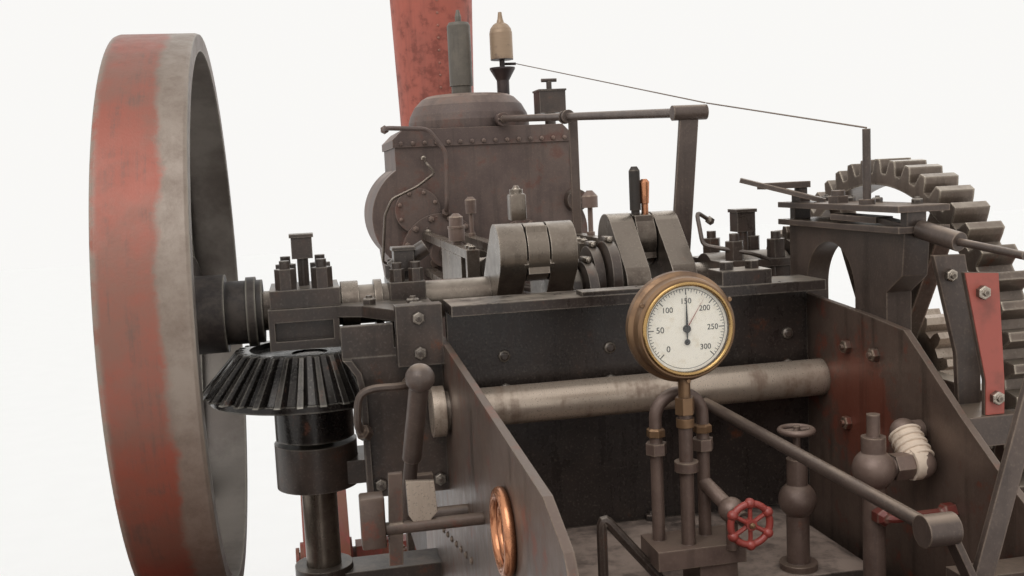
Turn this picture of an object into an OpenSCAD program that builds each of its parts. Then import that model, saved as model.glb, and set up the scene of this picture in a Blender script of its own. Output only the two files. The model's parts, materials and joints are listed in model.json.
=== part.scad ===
// Steam traction engine with a winding drum under the boiler.
// +X is the engine's right, +Y is forward, +Z is up; the origin is on the ground
// under the middle of the engine's length and width. All sizes are in millimetres.

/* [Overall] */
// Height of the crankshaft axis above the ground
crank_z = 2450; // [2400:5:2500]
// Distance from the crankshaft to the front wheels' foremost point
nose_y = 3800; // [3750:10:3900]
// Distance from the crankshaft back to the drawbar's end
tail_y = 2500; // [2450:10:2600]

/* [Boiler] */
// Outside diameter of the barrel
barrel_d = 870; // [800:5:900]
// Height of the barrel axis above the ground
barrel_z = 1445; // [1400:5:1480]
// Front end of the barrel, ahead of the crankshaft
barrel_front = 2620; // [2560:10:2660]
// Width of the firebox wrapper
firebox_w = 910; // [890:5:930]
// Back face of the firebox, measured from the crankshaft
firebox_back = -750; // [-780:5:-720]
// Front face of the firebox, measured from the crankshaft
firebox_front = 150; // [120:5:170]
// Height of the firebox top above the ground
firebox_top = 1900; // [1860:5:1920]
// Height of the foundation ring above the ground
firebox_foot = 720; // [680:5:760]
// Outside diameter of the smokebox
smokebox_d = 930; // [900:5:960]
// Length of the smokebox
smokebox_l = 800; // [760:10:860]
// Radius of the firehole
firehole_r = 150; // [120:5:180]
// Height of the firehole above the ground
firehole_z = 1500; // [1420:5:1560]

/* [Chimney] */
// Distance from the crankshaft to the chimney axis
chimney_y = 3080; // [3040:10:3120]
// Diameter at the chimney foot
chimney_foot_d = 340; // [300:5:360]
// Diameter below the chimney cap
chimney_top_d = 450; // [400:5:480]
// Height of the chimney top above the ground
chimney_top = 3880; // [3800:10:3950]
// Thickness of the chimney wall
chimney_wall = 12; // [6:1:20]

/* [Cylinders] */
// Distance from the crankshaft to the back face of the cylinder block
block_y = 1700; // [1680:5:1760]
// Length of the cylinder block
block_l = 560; // [480:10:620]
// Height of the block's shoulders above the crankshaft
block_top = 520; // [480:5:560]
// Left side of the high and low pressure cylinder casing
block_left = -480; // [-500:5:-440]
// Right side of the cylinder casing
block_right = 450; // [420:5:480]
// Height of the steam dome above the block's shoulders
dome_h = 155; // [130:5:170]
// Piston rod radius
piston_rod_r = 22; // [16:1:28]

/* [Crank] */
// Crank throw
throw = 165; // [150:1:170]
// Shaft radius
shaft_r = 50; // [44:1:54]
// Outer radius of a crank web's rounded end
web_r = 75; // [68:1:78]
// Rest angle of the low pressure crank above forward
low_angle = 135; // [120:5:150]
// Rest angle of the high pressure crank above forward
high_angle = 45; // [30:5:60]
// Centre of the low pressure connecting rod, to the right of the middle
low_x = -200; // [-210:1:-195]
// Centre of the high pressure connecting rod, to the right of the middle
high_x = 160; // [155:1:165]
// Connecting rod length between centres
rod_l = 800; // [760:5:840]

/* [Flywheel] */
// Outside radius
flywheel_r = 686; // [660:2:700]
// Inner face, to the left of the middle
flywheel_in = 978; // [970:1:1000]
// Rim width
flywheel_w = 180; // [150:2:200]
// Rim thickness
flywheel_rim = 42; // [30:1:60]

/* [Hornplates] */
// Hornplate thickness
horn_t = 15; // [10:1:20]

/* [Gearing] */
// Distance from the crankshaft back to the second motion shaft
second_back = 370; // [360:1:380]
// Drop from the crankshaft to the second motion shaft
second_drop = 215; // [205:1:225]
// Second motion shaft radius
second_r = 45; // [40:1:48]
// Left face of the big spur gear
spur_x = 600; // [596:1:610]
// Face width of the big spur gear
spur_w = 85; // [70:1:92]
// Tooth module of the upper gears
tooth_m = 20; // [19.9:0.1:20.1]
// Teeth on the big spur gear
spur_teeth = 51; // [48:1:51]
// Teeth on the second motion pinion
second_teeth = 13; // [13:1:14]
// Teeth on the third motion gear
third_teeth = 54; // [54:1:55]
// Tooth module of the final drive
final_m = 25; // [24.9:0.1:25.2]
// Teeth on the third motion pinion
final_pinion_teeth = 12; // [12:1:13]
// Teeth on the axle gear
axle_teeth = 44; // [44:1:45]
// Teeth on the crankshaft pinion
crank_teeth = 12; // [10:1:12]

/* [Winding gear] */
// Vertical shaft, to the left of the middle
upright_x = 772; // [768:1:778]
// Vertical shaft radius
upright_r = 45; // [38:1:48]
// Drop from the crankshaft to the bevel gear's upper face
bevel_drop = 98; // [96:1:106]
// Height of the bevel gear's teeth
bevel_h = 104; // [90:1:110]
// Outer radius of the bevel gear
bevel_r = 278; // [270:1:280]
// Teeth on the bevel gear
bevel_teeth = 32; // [28:1:36]
// Teeth on the vertical shaft's pinion
upright_teeth = 13; // [12:1:14]
// Teeth on the idler
idler_teeth = 20; // [19:1:21]
// Teeth on the drum's ring
ring_teeth = 76; // [74:1:77]
// Distance from the crankshaft forward to the drum axis
drum_y = 970; // [960:1:980]
// Underside of the drum's toothed ring above the ground
ring_z = 480; // [460:5:500]
// Height of the toothed ring
ring_h = 90; // [70:5:100]
// Top of the drum above the ground
drum_top = 940; // [900:5:960]

/* [Rear wheels] */
// Radius over the strakes
rear_r = 990; // [970:1:1000]
// Height of a strake above the rim
strake_h = 22; // [12:1:30]
// Strakes round each rear wheel
strakes = 24; // [20:1:28]
// Rim width
rear_w = 470; // [440:5:470]
// Inner face of each rear rim from the middle
rear_in = 950; // [945:1:960]
// Distance from the crankshaft back to the rear axle
rear_back = 920; // [900:1:930]
// Rear axle radius
rear_axle_r = 80; // [70:1:90]
// Spokes in each of a rear wheel's two rows
rear_spokes = 12; // [10:1:14]

/* [Front wheels] */
// Front wheel radius
front_r = 650; // [620:5:655]
// Rim width
front_w = 236; // [220:4:244]
// Inner face of each front rim from the middle
front_in = 638; // [634:1:646]
// Front axle journal radius
front_axle_r = 40; // [34:1:44]
// Steering chain's eye on the axle, from the middle
chain_eye_x = 420; // [400:5:430]
// Spokes in each of a front wheel's two rows
front_spokes = 8; // [7:1:9]
// Radius of the pin that the front axle turns on
perch_pin_r = 40; // [34:1:46]

/* [Tender] */
// Half of the tender's width
tender_half = 620; // [580:5:660]
// Front face of the tender, measured from the crankshaft
tender_front = -1560; // [-1600:5:-1540]
// Back face of the tender, measured from the crankshaft
tender_back = -2340; // [-2380:5:-2300]
// Top of the tender above the ground
tender_top = 1780; // [1700:10:1850]
// Tender plate thickness
plate_t = 12; // [6:1:20]
// Height of the footplate above the ground
floor_z = 1240; // [1200:5:1280]
// Underside of the water tank above the ground
tank_foot = 760; // [720:5:800]
// Radius of the hole for the drawbar pin
hitch_r = 25; // [18:1:30]

/* [Gauge] */
// Pressure gauge case radius
gauge_r = 110; // [95:1:120]
// Radius of the visible dial
dial_r = 85; // [70:1:90]
// Depth of the gauge case
gauge_depth = 62; // [45:1:80]

/* [Hidden] */
$fn = 64;

// Running clearance between a shaft and its bore
run = 0.05;
// Gap kept between pieces that move past each other
gap = 6;
// Gap between a piece and the curved face it seats on
seat = 0.3;
horn_x = firebox_w / 2 + horn_t;
crank_y = (tail_y - nose_y) / 2;
second_y = -second_back;
second_z = crank_z - second_drop;
rear_y = -rear_back;
rear_z = rear_r;
front_y = nose_y - front_r;
front_z = front_r;
smokebox_front = barrel_front + smokebox_l;
barrel_bottom = barrel_z - barrel_d / 2;
smokebox_bottom = barrel_z - smokebox_d / 2;
saddle_z = barrel_z + 270 - crank_z;
flywheel_out = flywheel_in + flywheel_w;
low_pin = [throw * cos(low_angle), throw * sin(low_angle)];
high_pin = [throw * cos(high_angle), throw * sin(high_angle)];
pin_w = 62;
// Top of the left bracket's bearing bodies, and the left face of its inner bearing
split_z = 13;
inner_bearing = -566;
// Rear face of the left bracket's web, from the crankshaft
bracket_y = -306;
// Valve spindles and links, to the right of the middle
spindle_x = [-55, 8];
web_w = 68;
// Door hinges
hinge_pin_r = 10;
fire_hinge_x = firehole_r + 70;
fire_hinge_y = firebox_back - 40;
door_r = smokebox_d / 2 - 70;
door_hinge_x = door_r + 30;
door_hinge_y = smokebox_front + 28;
// Steam dome on the block's lid, and the regulator's gland behind it
lid_lap = 2;
dome_r = block_l / 2 - 10;
dome_x = -5;
dome_y = block_y + block_l / 2;
dome_top = block_top - lid_lap + dome_h;
regulator_x = 90;
regulator_z = block_top + 26;
// Whistle, the post that guides its wire, and the wire
whistle_x = 158;
whistle_y = dome_y - 10;
guide_post_y = -555;
guide_post_z = 378;
wire_r = 2;
// Slide bars: offset from the rod's plane, width, near face height, depth
bar_off = 38;
bar_w = 40;
bar_in = 60;
bar_h = 28;
bar_back = 480;
// Third motion shaft: found from its two centre distances
second_third = (second_teeth + third_teeth) * tooth_m / 2;
third_axle = (final_pinion_teeth + axle_teeth) * final_m / 2;
third_c = corner([second_y, second_z], [rear_y, rear_z], second_third, third_axle, 1);
third_x = spur_x + spur_w + 20;
final_x = third_x + 80 + 15;
final_w = 95;
third_r = 45;
// Idler between the vertical shaft and the drum ring
drum_c = [0, drum_y];
upright_c = [-upright_x, 0];
idler_c = corner(upright_c, drum_c, (upright_teeth + idler_teeth) * tooth_m / 2,
                 (idler_teeth + ring_teeth) * tooth_m / 2, 1);
// Steering: column on the footplate, then the barrel that the chains wind on
steer_x = -240;
steer_y = -1400;
steer_z = floor_z + 60;
wheel_hub_z = 2100;
chain_barrel_y = 1900;
chain_barrel_z = 915;
chain_barrel_r = 48;
// Tooth proportions, in modules
addendum = 0.75;
dedendum = 0.95;
pressure_angle = 20;
thinning = 0.05;

// Third corner of a triangle with side a from p and side b from q, on the left of p to q
function corner(p, q, a, b, side) =
    let (d = norm(q - p), u = (q - p) / d, along = (a * a - b * b + d * d) / (2 * d),
         off = side * sqrt(a * a - along * along))
    p + along * u + off * [-u[1], u[0]];
function bearing(p, q) = atan2(q[1] - p[1], q[0] - p[0]);
// Phase of a gear that meshes with one of z1 teeth at phase1, in the direction given
function mesh_phase(z1, phase1, direction, z2) =
    direction + 180 - (180 - z1 * (direction - phase1)) / z2;
function inv(a) = tan(a) * 180 / PI - a;
function flank(z, m, r) =
    90 / z * (1 - thinning) + inv(pressure_angle)
    - inv(acos(min(1, z * m / 2 * cos(pressure_angle) / r)));

module along_x(x) { translate([x, 0, 0]) rotate([90, 0, 90]) children(); }
module from_crank() { translate([0, crank_y, crank_z]) children(); }
module on_ground() { translate([0, crank_y, 0]) children(); }
module xcyl(x0, x1, y, z, r) { translate([x0, y, z]) rotate([0, 90, 0]) cylinder(h = x1 - x0, r = r); }
module ycyl(y0, y1, x, z, r) { translate([x, y0, z]) rotate([-90, 0, 0]) cylinder(h = y1 - y0, r = r); }
module zcyl(z0, z1, x, y, r) { translate([x, y, z0]) cylinder(h = z1 - z0, r = r); }
module block(x, y, z) { translate([x[0], y[0], z[0]]) cube([x[1] - x[0], y[1] - y[0], z[1] - z[0]]); }
module bar(a, b, r) {
    d = b - a;
    translate(a) rotate([0, acos(d[2] / norm(d)), atan2(d[1], d[0])]) cylinder(h = norm(d), r = r);
}
module side_plate(x, t, points) { along_x(x) linear_extrude(t) polygon(points); }
// Flat bar, w wide across and t thick in the upright plane of its run
module flat_bar(a, b, w, t) {
    d = b - a;
    translate(a) rotate([0, acos(d[2] / norm(d)), atan2(d[1], d[0])])
        translate([-t / 2, -w / 2, 0]) cube([t, w, norm(d)]);
}
module nut(r, h) { cylinder(h = h, r = r, $fn = 6); }
module gear_2d(z, m, phase, bore_r) {
    pitch = z * m / 2;
    radii = [pitch - dedendum * m, pitch, pitch + addendum * m];
    halves = [for (r = radii) flank(z, m, r)];
    difference() {
        polygon([for (i = [0:z - 1], s = [[0, -1], [1, -1], [2, -1], [2, 1], [1, 1], [0, 1]])
            let (a = phase + i * 360 / z + s[1] * halves[s[0]], r = radii[s[0]])
            [r * cos(a), r * sin(a)]]);
        circle(bore_r);
    }
}
// Gear wheel with rim, spokes and boss on local z, from z = 0 to w
module spoked_gear(z, m, phase, w, bore_r, boss_r, arms) {
    rim_r = z * m / 2 - dedendum * m - 1.4 * m;
    linear_extrude(w) gear_2d(z, m, phase, rim_r);
    difference() {
        union() {
            cylinder(h = w, r = boss_r);
            for (i = [0:arms - 1]) rotate(i * 360 / arms)
                translate([boss_r - 8, -1.3 * m, w * 0.25]) cube([rim_r - boss_r + 14, 2.6 * m, w * 0.5]);
        }
        translate([0, 0, -1]) cylinder(h = w + 2, r = bore_r);
    }
}

module boiler_barrel() color([0.27, 0.24, 0.22]) on_ground() {
    ycyl(firebox_front, barrel_front, 0, barrel_z, barrel_d / 2);
    for (y = [firebox_front + 60, 600, 1500, 2420])
        ycyl(y, y + 50, 0, barrel_z, barrel_d / 2 + 6);
}

module firebox() color([0.25, 0.22, 0.2]) on_ground() {
    corner_r = 130;
    half = firebox_w / 2;
    difference() {
        union() {
            translate([0, firebox_front, 0]) rotate([90, 0, 0]) linear_extrude(firebox_front - firebox_back) {
                translate([-half, firebox_foot]) square([firebox_w, firebox_top - corner_r - firebox_foot]);
                translate([-half + corner_r, firebox_top - corner_r - 1])
                    square([firebox_w - 2 * corner_r, corner_r + 1]);
                for (s = [-1, 1]) translate([s * (half - corner_r), firebox_top - corner_r]) circle(corner_r);
            }
            ycyl(firebox_back - 30, firebox_back + 5, 0, firehole_z, firehole_r + 45);
            for (z = [firehole_z - 75, firehole_z + 75])
                block([-fire_hinge_x - 25, -fire_hinge_x + 20], [firebox_back - 55, firebox_back + 5], [z - 12, z + 12]);
            zcyl(firehole_z - 75, firehole_z + 75, -fire_hinge_x, fire_hinge_y, hinge_pin_r);
            block([-half + 40, half - 40], [firebox_back + 40, firebox_front - 40],
                  [firebox_foot - 180, firebox_foot + 2]);
        }
        ycyl(firebox_back - 40, firebox_back + 80, 0, firehole_z, firehole_r);
    }
}

module firehole_door() color([0.2, 0.19, 0.18]) on_ground() {
    difference() {
        union() {
            ycyl(firebox_back - 48, firebox_back - 30 - seat, 0, firehole_z, firehole_r + 30);
            block([-fire_hinge_x, -firehole_r + 40], [firebox_back - 48, firebox_back - 33],
                  [firehole_z - 50, firehole_z + 50]);
            zcyl(firehole_z - 55, firehole_z + 55, -fire_hinge_x, fire_hinge_y, 18);
        }
        zcyl(firehole_z - 60, firehole_z + 60, -fire_hinge_x, fire_hinge_y, hinge_pin_r + run);
    }
    bar([firehole_r - 10, firebox_back - 46, firehole_z], [firehole_r + 30, firebox_back - 130, firehole_z], 10);
}

module smokebox() color([0.22, 0.2, 0.19]) on_ground() {
    difference() {
        union() {
            ycyl(barrel_front, smokebox_front, 0, barrel_z, smokebox_d / 2);
            ycyl(smokebox_front - 30, smokebox_front, 0, barrel_z, smokebox_d / 2 + 12);
            ycyl(barrel_front, barrel_front + 40, 0, barrel_z, smokebox_d / 2 + 12);
        }
        ycyl(smokebox_front - 60, smokebox_front + 1, 0, barrel_z, smokebox_d / 2 - 110);
    }
    for (dz = [-1, 1]) block([-door_hinge_x - 24, -door_hinge_x + 24], [smokebox_front - 10, door_hinge_y + 20],
                             [barrel_z + dz * 190 - 14, barrel_z + dz * 190 + 14]);
    zcyl(barrel_z - 190, barrel_z + 190, -door_hinge_x, door_hinge_y, hinge_pin_r);
}

module smokebox_door() color([0.24, 0.22, 0.21]) on_ground() {
    translate([0, smokebox_front + seat, barrel_z]) rotate([-90, 0, 0]) rotate_extrude()
        polygon([[0, 0], [door_r, 0], [door_r, 14], [door_r - 60, 30], [150, 62], [0, 72]]);
    ycyl(smokebox_front + 60, smokebox_front + 110, 0, barrel_z, 22);
    bar([-90, smokebox_front + 100, barrel_z - 60], [90, smokebox_front + 100, barrel_z + 60], 11);
    difference() {
        for (dz = [-150, 150]) {
            block([-door_hinge_x, -120], [smokebox_front + 12, smokebox_front + 44],
                  [barrel_z + dz - 22, barrel_z + dz + 22]);
            zcyl(barrel_z + dz - 22, barrel_z + dz + 22, -door_hinge_x, door_hinge_y, 22);
        }
        zcyl(barrel_z - 200, barrel_z + 200, -door_hinge_x, door_hinge_y, hinge_pin_r + run);
    }
}

module chimney() color([0.63, 0.29, 0.24]) on_ground() translate([0, chimney_y, 0]) {
    foot_z = barrel_z + smokebox_d / 2 - 60;
    flange_z = barrel_z + smokebox_d / 2 + 90;
    cap_h = 110;
    difference() {
        union() {
            translate([0, 0, foot_z])
                cylinder(h = flange_z - foot_z, r1 = chimney_foot_d / 2 + 90, r2 = chimney_foot_d / 2 + 10);
            translate([0, 0, flange_z - 10]) cylinder(h = 30, r = chimney_foot_d / 2 + 50);
            translate([0, 0, flange_z])
                cylinder(h = chimney_top - cap_h - flange_z, r1 = chimney_foot_d / 2, r2 = chimney_top_d / 2);
            translate([0, 0, chimney_top - cap_h]) rotate_extrude()
                polygon([[60, 0], [chimney_top_d / 2 + 12, 0], [chimney_top_d / 2 + 12, 20],
                         [chimney_top_d / 2 + 2, 28], [chimney_top_d / 2 + 14, 66],
                         [chimney_top_d / 2 + 45, 92], [chimney_top_d / 2 + 45, cap_h], [60, cap_h]]);
        }
        translate([0, 0, flange_z])
            cylinder(h = chimney_top - flange_z + 1, r1 = chimney_foot_d / 2 - chimney_wall,
                     r2 = chimney_top_d / 2 - chimney_wall);
        ycyl(-300, 300, 0, barrel_z, smokebox_d / 2 + seat);
    }
}

module cylinder_block() color([0.3, 0.26, 0.24]) from_crank() {
    difference() {
        translate([0, block_y + block_l, 0]) rotate([90, 0, 0]) linear_extrude(block_l) {
            translate([block_left + 240, 150]) circle(240);
            translate([-30, 150]) circle(260);
            translate([block_right - 200, 60]) circle(200);
            polygon([[block_left + 110, 250], [block_left + 110, block_top - 40], [block_left + 150, block_top],
                     [350, block_top], [385, block_top - 40], [block_right - 30, 150], [block_right - 60, -100],
                     [330, saddle_z], [-330, saddle_z], [block_left + 60, 0]]);
        }
        ycyl(block_y - 1, block_y + block_l + 1, 0, barrel_z - crank_z, barrel_d / 2 + seat);
    }
    for (c = [[low_x, 0, 165], [high_x, 0, 120]]) {
        ycyl(block_y - 40, block_y + 1, c[0], c[1], c[2]);
        ycyl(block_y - 110, block_y - 30, c[0], c[1], 55);
        ycyl(block_y + block_l - 1, block_y + block_l + 45, c[0], c[1], c[2]);
    }
    for (x = spindle_x) ycyl(block_y - 110, block_y + 1, x, 0, 24);
    ycyl(block_y - 30, block_y + 1, block_left + 190, 180, 95);
    translate([dome_x, dome_y, block_top - lid_lap]) rotate_extrude()
        polygon([[0, 0], [dome_r, 0], [dome_r, 40], [dome_r - 8, 68], [dome_r - 30, dome_h - 47],
                 [dome_r - 62, dome_h - 15], [dome_r - 85, dome_h - 3], [dome_r - 100, dome_h], [0, dome_h]]);
    translate([0, block_y + block_l + 8, 0]) rotate([90, 0, 0]) linear_extrude(block_l + 16)
        polygon([[block_left + 102, block_top - 74], [block_left + 102, block_top - 42], [block_left + 147, block_top],
                 [353, block_top], [393, block_top - 42], [393, block_top - 74]]);
    ycyl(block_y - 45, block_y + 60, regulator_x, regulator_z, 28);
}

module safety_valve() color([0.38, 0.37, 0.33]) from_crank() translate([-27, dome_y + 20, dome_top]) {
    cylinder(h = 46, r = 45);
    translate([0, 0, 44]) cylinder(h = 266, r = 52);
    translate([0, 0, 309]) cylinder(h = 14, r1 = 52, r2 = 44);
    translate([0, 0, 322]) cylinder(h = 28, r = 14);
    translate([0, 0, 349]) cylinder(h = 30, r1 = 14, r2 = 7);
}

module whistle() color([0.5, 0.4, 0.3]) from_crank() translate([whistle_x, whistle_y, dome_top]) {
    cylinder(h = 62, r = 28);
    translate([0, 0, 61]) cylinder(h = 50, r1 = 28, r2 = 57);
    translate([0, 0, 110]) cylinder(h = 8, r = 57);
    translate([0, 0, 117]) cylinder(h = 36, r = 12);
    rotate_extrude() polygon([[0, 152], [51, 152], [51, 270], [46, 290], [34, 306], [22, 314], [0, 314]]);
    translate([0, 0, 313]) cylinder(h = 20, r1 = 18, r2 = 12);
    translate([0, 0, 332]) cylinder(h = 30, r1 = 12, r2 = 8);
    xcyl(0, 62, 0, 134, 6);
}

module lubricator() color([0.33, 0.31, 0.28]) from_crank() translate([333, block_y + 120, block_top]) {
    cylinder(h = 54, r = 24);
    block([-58, 58], [-58, 58], [52, 147]);
    block([-62, 62], [-62, 62], [146, 154]);
    zcyl(152, 190, 0, 0, 12);
    xcyl(-34, 34, 0, 196, 8);
}

module slide_bars() color([0.45, 0.43, 0.4]) from_crank() for (x = [low_x, high_x], side = [-1, 1]) {
    x0 = x + side * (bar_off + bar_w / 2);
    for (s = [-1, 1])
        block([x0 - bar_w / 2, x0 + bar_w / 2], [bar_back, block_y - 40],
              s > 0 ? [bar_in, bar_in + bar_h] : [-bar_in - bar_h, -bar_in]);
    block([x0 - bar_w / 2, x0 + bar_w / 2], [bar_back, bar_back + 30], [-bar_in - 1, bar_in + 1]);
}

// Forked crossheads: two cheeks between the slide bars, joined ahead of the jaw
module crossheads() color([0.5, 0.48, 0.44]) from_crank()
for (c = [[low_x, low_pin, 345], [high_x, high_pin, 120]]) {
    pin_y = c[1][0] + sqrt(rod_l * rod_l - c[1][1] * c[1][1]);
    jaw = c[2];
    for (s = [-1, 1])
        block(s > 0 ? [c[0] + 33, c[0] + bar_off + bar_w] : [c[0] - bar_off - bar_w, c[0] - 33],
              [pin_y - 70, pin_y + jaw + 50], [-bar_in + 1, bar_in - 1]);
    block([c[0] - 40, c[0] + 40], [pin_y + jaw, pin_y + jaw + 50], [-45, 45]);
    ycyl(pin_y + jaw + 45, block_y - 110, c[0], 0, piston_rod_r);
    ycyl(pin_y + jaw + 45, pin_y + jaw + 90, c[0], 0, piston_rod_r + 16);
}

// Four eccentrics with their straps and rods, the curved links and the valve spindles
module valve_gear() color([0.3, 0.28, 0.26]) from_crank() {
    sheave_w = 26;
    ecc = [[-84, 25, -30], [-53, -30, -20], [-20, 30, 15], [11, -20, 30]];
    for (e = ecc) {
        difference() {
            along_x(e[0]) translate([e[1], e[2]]) cylinder(h = sheave_w, r = 96);
            xcyl(e[0] - 1, e[0] + sheave_w + 1, 0, 0, shaft_r + gap);
        }
        bar([e[0] + sheave_w / 2, e[1] + 90, e[2]], [e[0] + sheave_w / 2, 1060, e[2] > 0 ? 90 : -90], 12);
    }
    for (x = spindle_x) along_x(x - 12) difference() {
        translate([760, 0]) linear_extrude(24) intersection() {
            difference() { circle(340); circle(290); }
            polygon([[0, 0], [400, -170], [400, 170]]);
        }
        translate([760, 0, -1]) linear_extrude(26) intersection() {
            difference() { circle(326); circle(304); }
            polygon([[0, 0], [400, -120], [400, 120]]);
        }
    }
    for (x = spindle_x) ycyl(1098, block_y - 110, x, 0, 12);
}

module connecting_rod(x, pin) {
    slope = -asin(pin[1] / rod_l);
    along_x(x) translate([pin[0], pin[1], 0]) rotate(slope) {
        translate([0, 0, -27]) difference() {
            union() {
                cylinder(h = 54, r = 74);
                translate([-60, -60, 0]) cube([120, 120, 54]);
            }
            translate([0, 0, -1]) cylinder(h = 56, r = 46 + run);
        }
        translate([0, 0, -18]) linear_extrude(36)
            polygon([[60, -42], [rod_l - 40, -28], [rod_l - 40, 28], [60, 42]]);
        translate([rod_l, 0, -25]) difference() {
            cylinder(h = 50, r = 48);
            translate([0, 0, -1]) cylinder(h = 52, r = 26);
        }
    }
}
module low_pressure_rod() color([0.42, 0.4, 0.37]) from_crank() connecting_rod(low_x, low_pin);
module high_pressure_rod() color([0.42, 0.4, 0.37]) from_crank() connecting_rod(high_x, high_pin);

module crank_webs(x, pin, angle) {
    for (x0 = [x - pin_w / 2 - web_w, x + pin_w / 2])
        along_x(x0) linear_extrude(web_w) rotate(angle) {
            circle(web_r);
            translate([throw, 0]) circle(web_r);
            translate([0, -web_r]) square([throw, 2 * web_r]);
        }
    xcyl(x - pin_w / 2 - 1, x + pin_w / 2 + 1, pin[0], pin[1], 46);
}
module crankshaft() color([0.55, 0.53, 0.48]) from_crank() {
    low_out = low_x - pin_w / 2 - web_w;
    low_inner = low_x + pin_w / 2 + web_w;
    high_inner = high_x - pin_w / 2 - web_w;
    high_out = high_x + pin_w / 2 + web_w;
    xcyl(-flywheel_out - 20, low_out + 1, 0, 0, shaft_r);
    xcyl(low_inner - 1, high_inner + 1, 0, 0, shaft_r);
    xcyl(high_out - 1, 592, 0, 0, shaft_r);
    crank_webs(low_x, low_pin, low_angle);
    crank_webs(high_x, high_pin, high_angle);
    xcyl(-684, -640, 0, 0, 62);
    xcyl(-600, -580, 0, 0, 62);
    along_x(545) linear_extrude(45) gear_2d(crank_teeth, tooth_m, 0, 30);
}

// Curved spokes: arcs whose chords run from the boss to the rim
module flywheel() color([0.55, 0.4, 0.34]) from_crank() {
    inner_r = flywheel_r - flywheel_rim;
    spoke_r = 520;
    spoke_z = 23;
    chord = inner_r - 60 + 12;
    half_turn = asin(chord / 2 / spoke_r);
    along_x(-flywheel_out) {
        rotate_extrude() polygon([[inner_r, 0], [flywheel_r - 3, 0], [flywheel_r, 8], [flywheel_r, flywheel_w - 8],
                                  [flywheel_r - 3, flywheel_w], [inner_r, flywheel_w]]);
        translate([0, 0, spoke_z + 14]) rotate_extrude() translate([inner_r - 26, 0]) square([28, 24]);
        difference() {
            union() {
                translate([0, 0, 10]) cylinder(h = flywheel_w, r = 98);
                for (i = [0:5]) rotate(i * 60) translate([60 + chord / 2, -spoke_r * cos(half_turn), spoke_z])
                    rotate(90 - half_turn) rotate_extrude(angle = 2 * half_turn)
                        translate([spoke_r - 34, 0]) square([68, 52]);
            }
            translate([0, 0, -1]) cylinder(h = flywheel_w + 60, r = shaft_r + seat);
        }
    }
    along_x(-flywheel_in) difference() {
        union() {
            cylinder(h = 100, r = 80);
            translate([0, 0, 60]) cylinder(h = 24, r = 88);
        }
        translate([0, 0, -1]) cylinder(h = 120, r = shaft_r + seat);
    }
}

module crossplate() color([0.2, 0.19, 0.18]) from_crank() {
    inner = horn_x - horn_t;
    web_y = -302;
    block([-inner, inner], [-400, -262], [3, 28]);
    block([-inner, inner], [web_y, web_y + 20], [firebox_top - crank_z + seat, 4]);
    block([-150, 0], [-395, -340], [27, 38]);
    block([195, 320], [-390, -300], [27, 62]);
    for (x = [225, 290]) translate([x, -345, 61]) nut(18, 20);
}

module hornplates() color([0.33, 0.28, 0.24]) from_crank() {
    low = firebox_foot - crank_z + 60;
    floor_low = floor_z - crank_z - 260;
    notch = [[-180, -40], [-180, -92], [180, -92], [180, -40]];
    difference() {
        union() {
            side_plate(-horn_x, horn_t, concat([[260, low], [300, -600], [300, -60]],
                [[180, -60], [180, -92], [-180, -92], [-180, -63], [-300, -63], [-1330, -128], [-1440, -170],
                 [-1510, -260], [-1550, -420], [-1560, floor_low], [-1200, low]]));
            side_plate(horn_x - horn_t, horn_t, [[260, low], [300, -600], [300, -40], [180, -40], [180, -92],
                [-180, -92], [-180, -14], [-300, -16], [-580, -35], [-730, -50], [-929, -198], [-1033, -269],
                [-1300, -420], [-1450, -620], [-1560, -900], [-1560, floor_low], [-1200, low]]);
        }
        xcyl(-horn_x - 1, horn_x + 1, second_y, -second_drop, second_r + run);
        xcyl(-horn_x - 1, horn_x + 1, rear_y, rear_z - crank_z, rear_axle_r + seat);
        xcyl(-horn_x - 1, 0, steer_y, steer_z - crank_z, 17 + gap);
    }
    translate([0, 0, -crank_z]) difference() {
        xcyl(horn_x - 1, horn_x + 100, third_c[0], third_c[1], 85);
        xcyl(horn_x - 2, horn_x + 101, third_c[0], third_c[1], third_r + run);
    }
}

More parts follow.
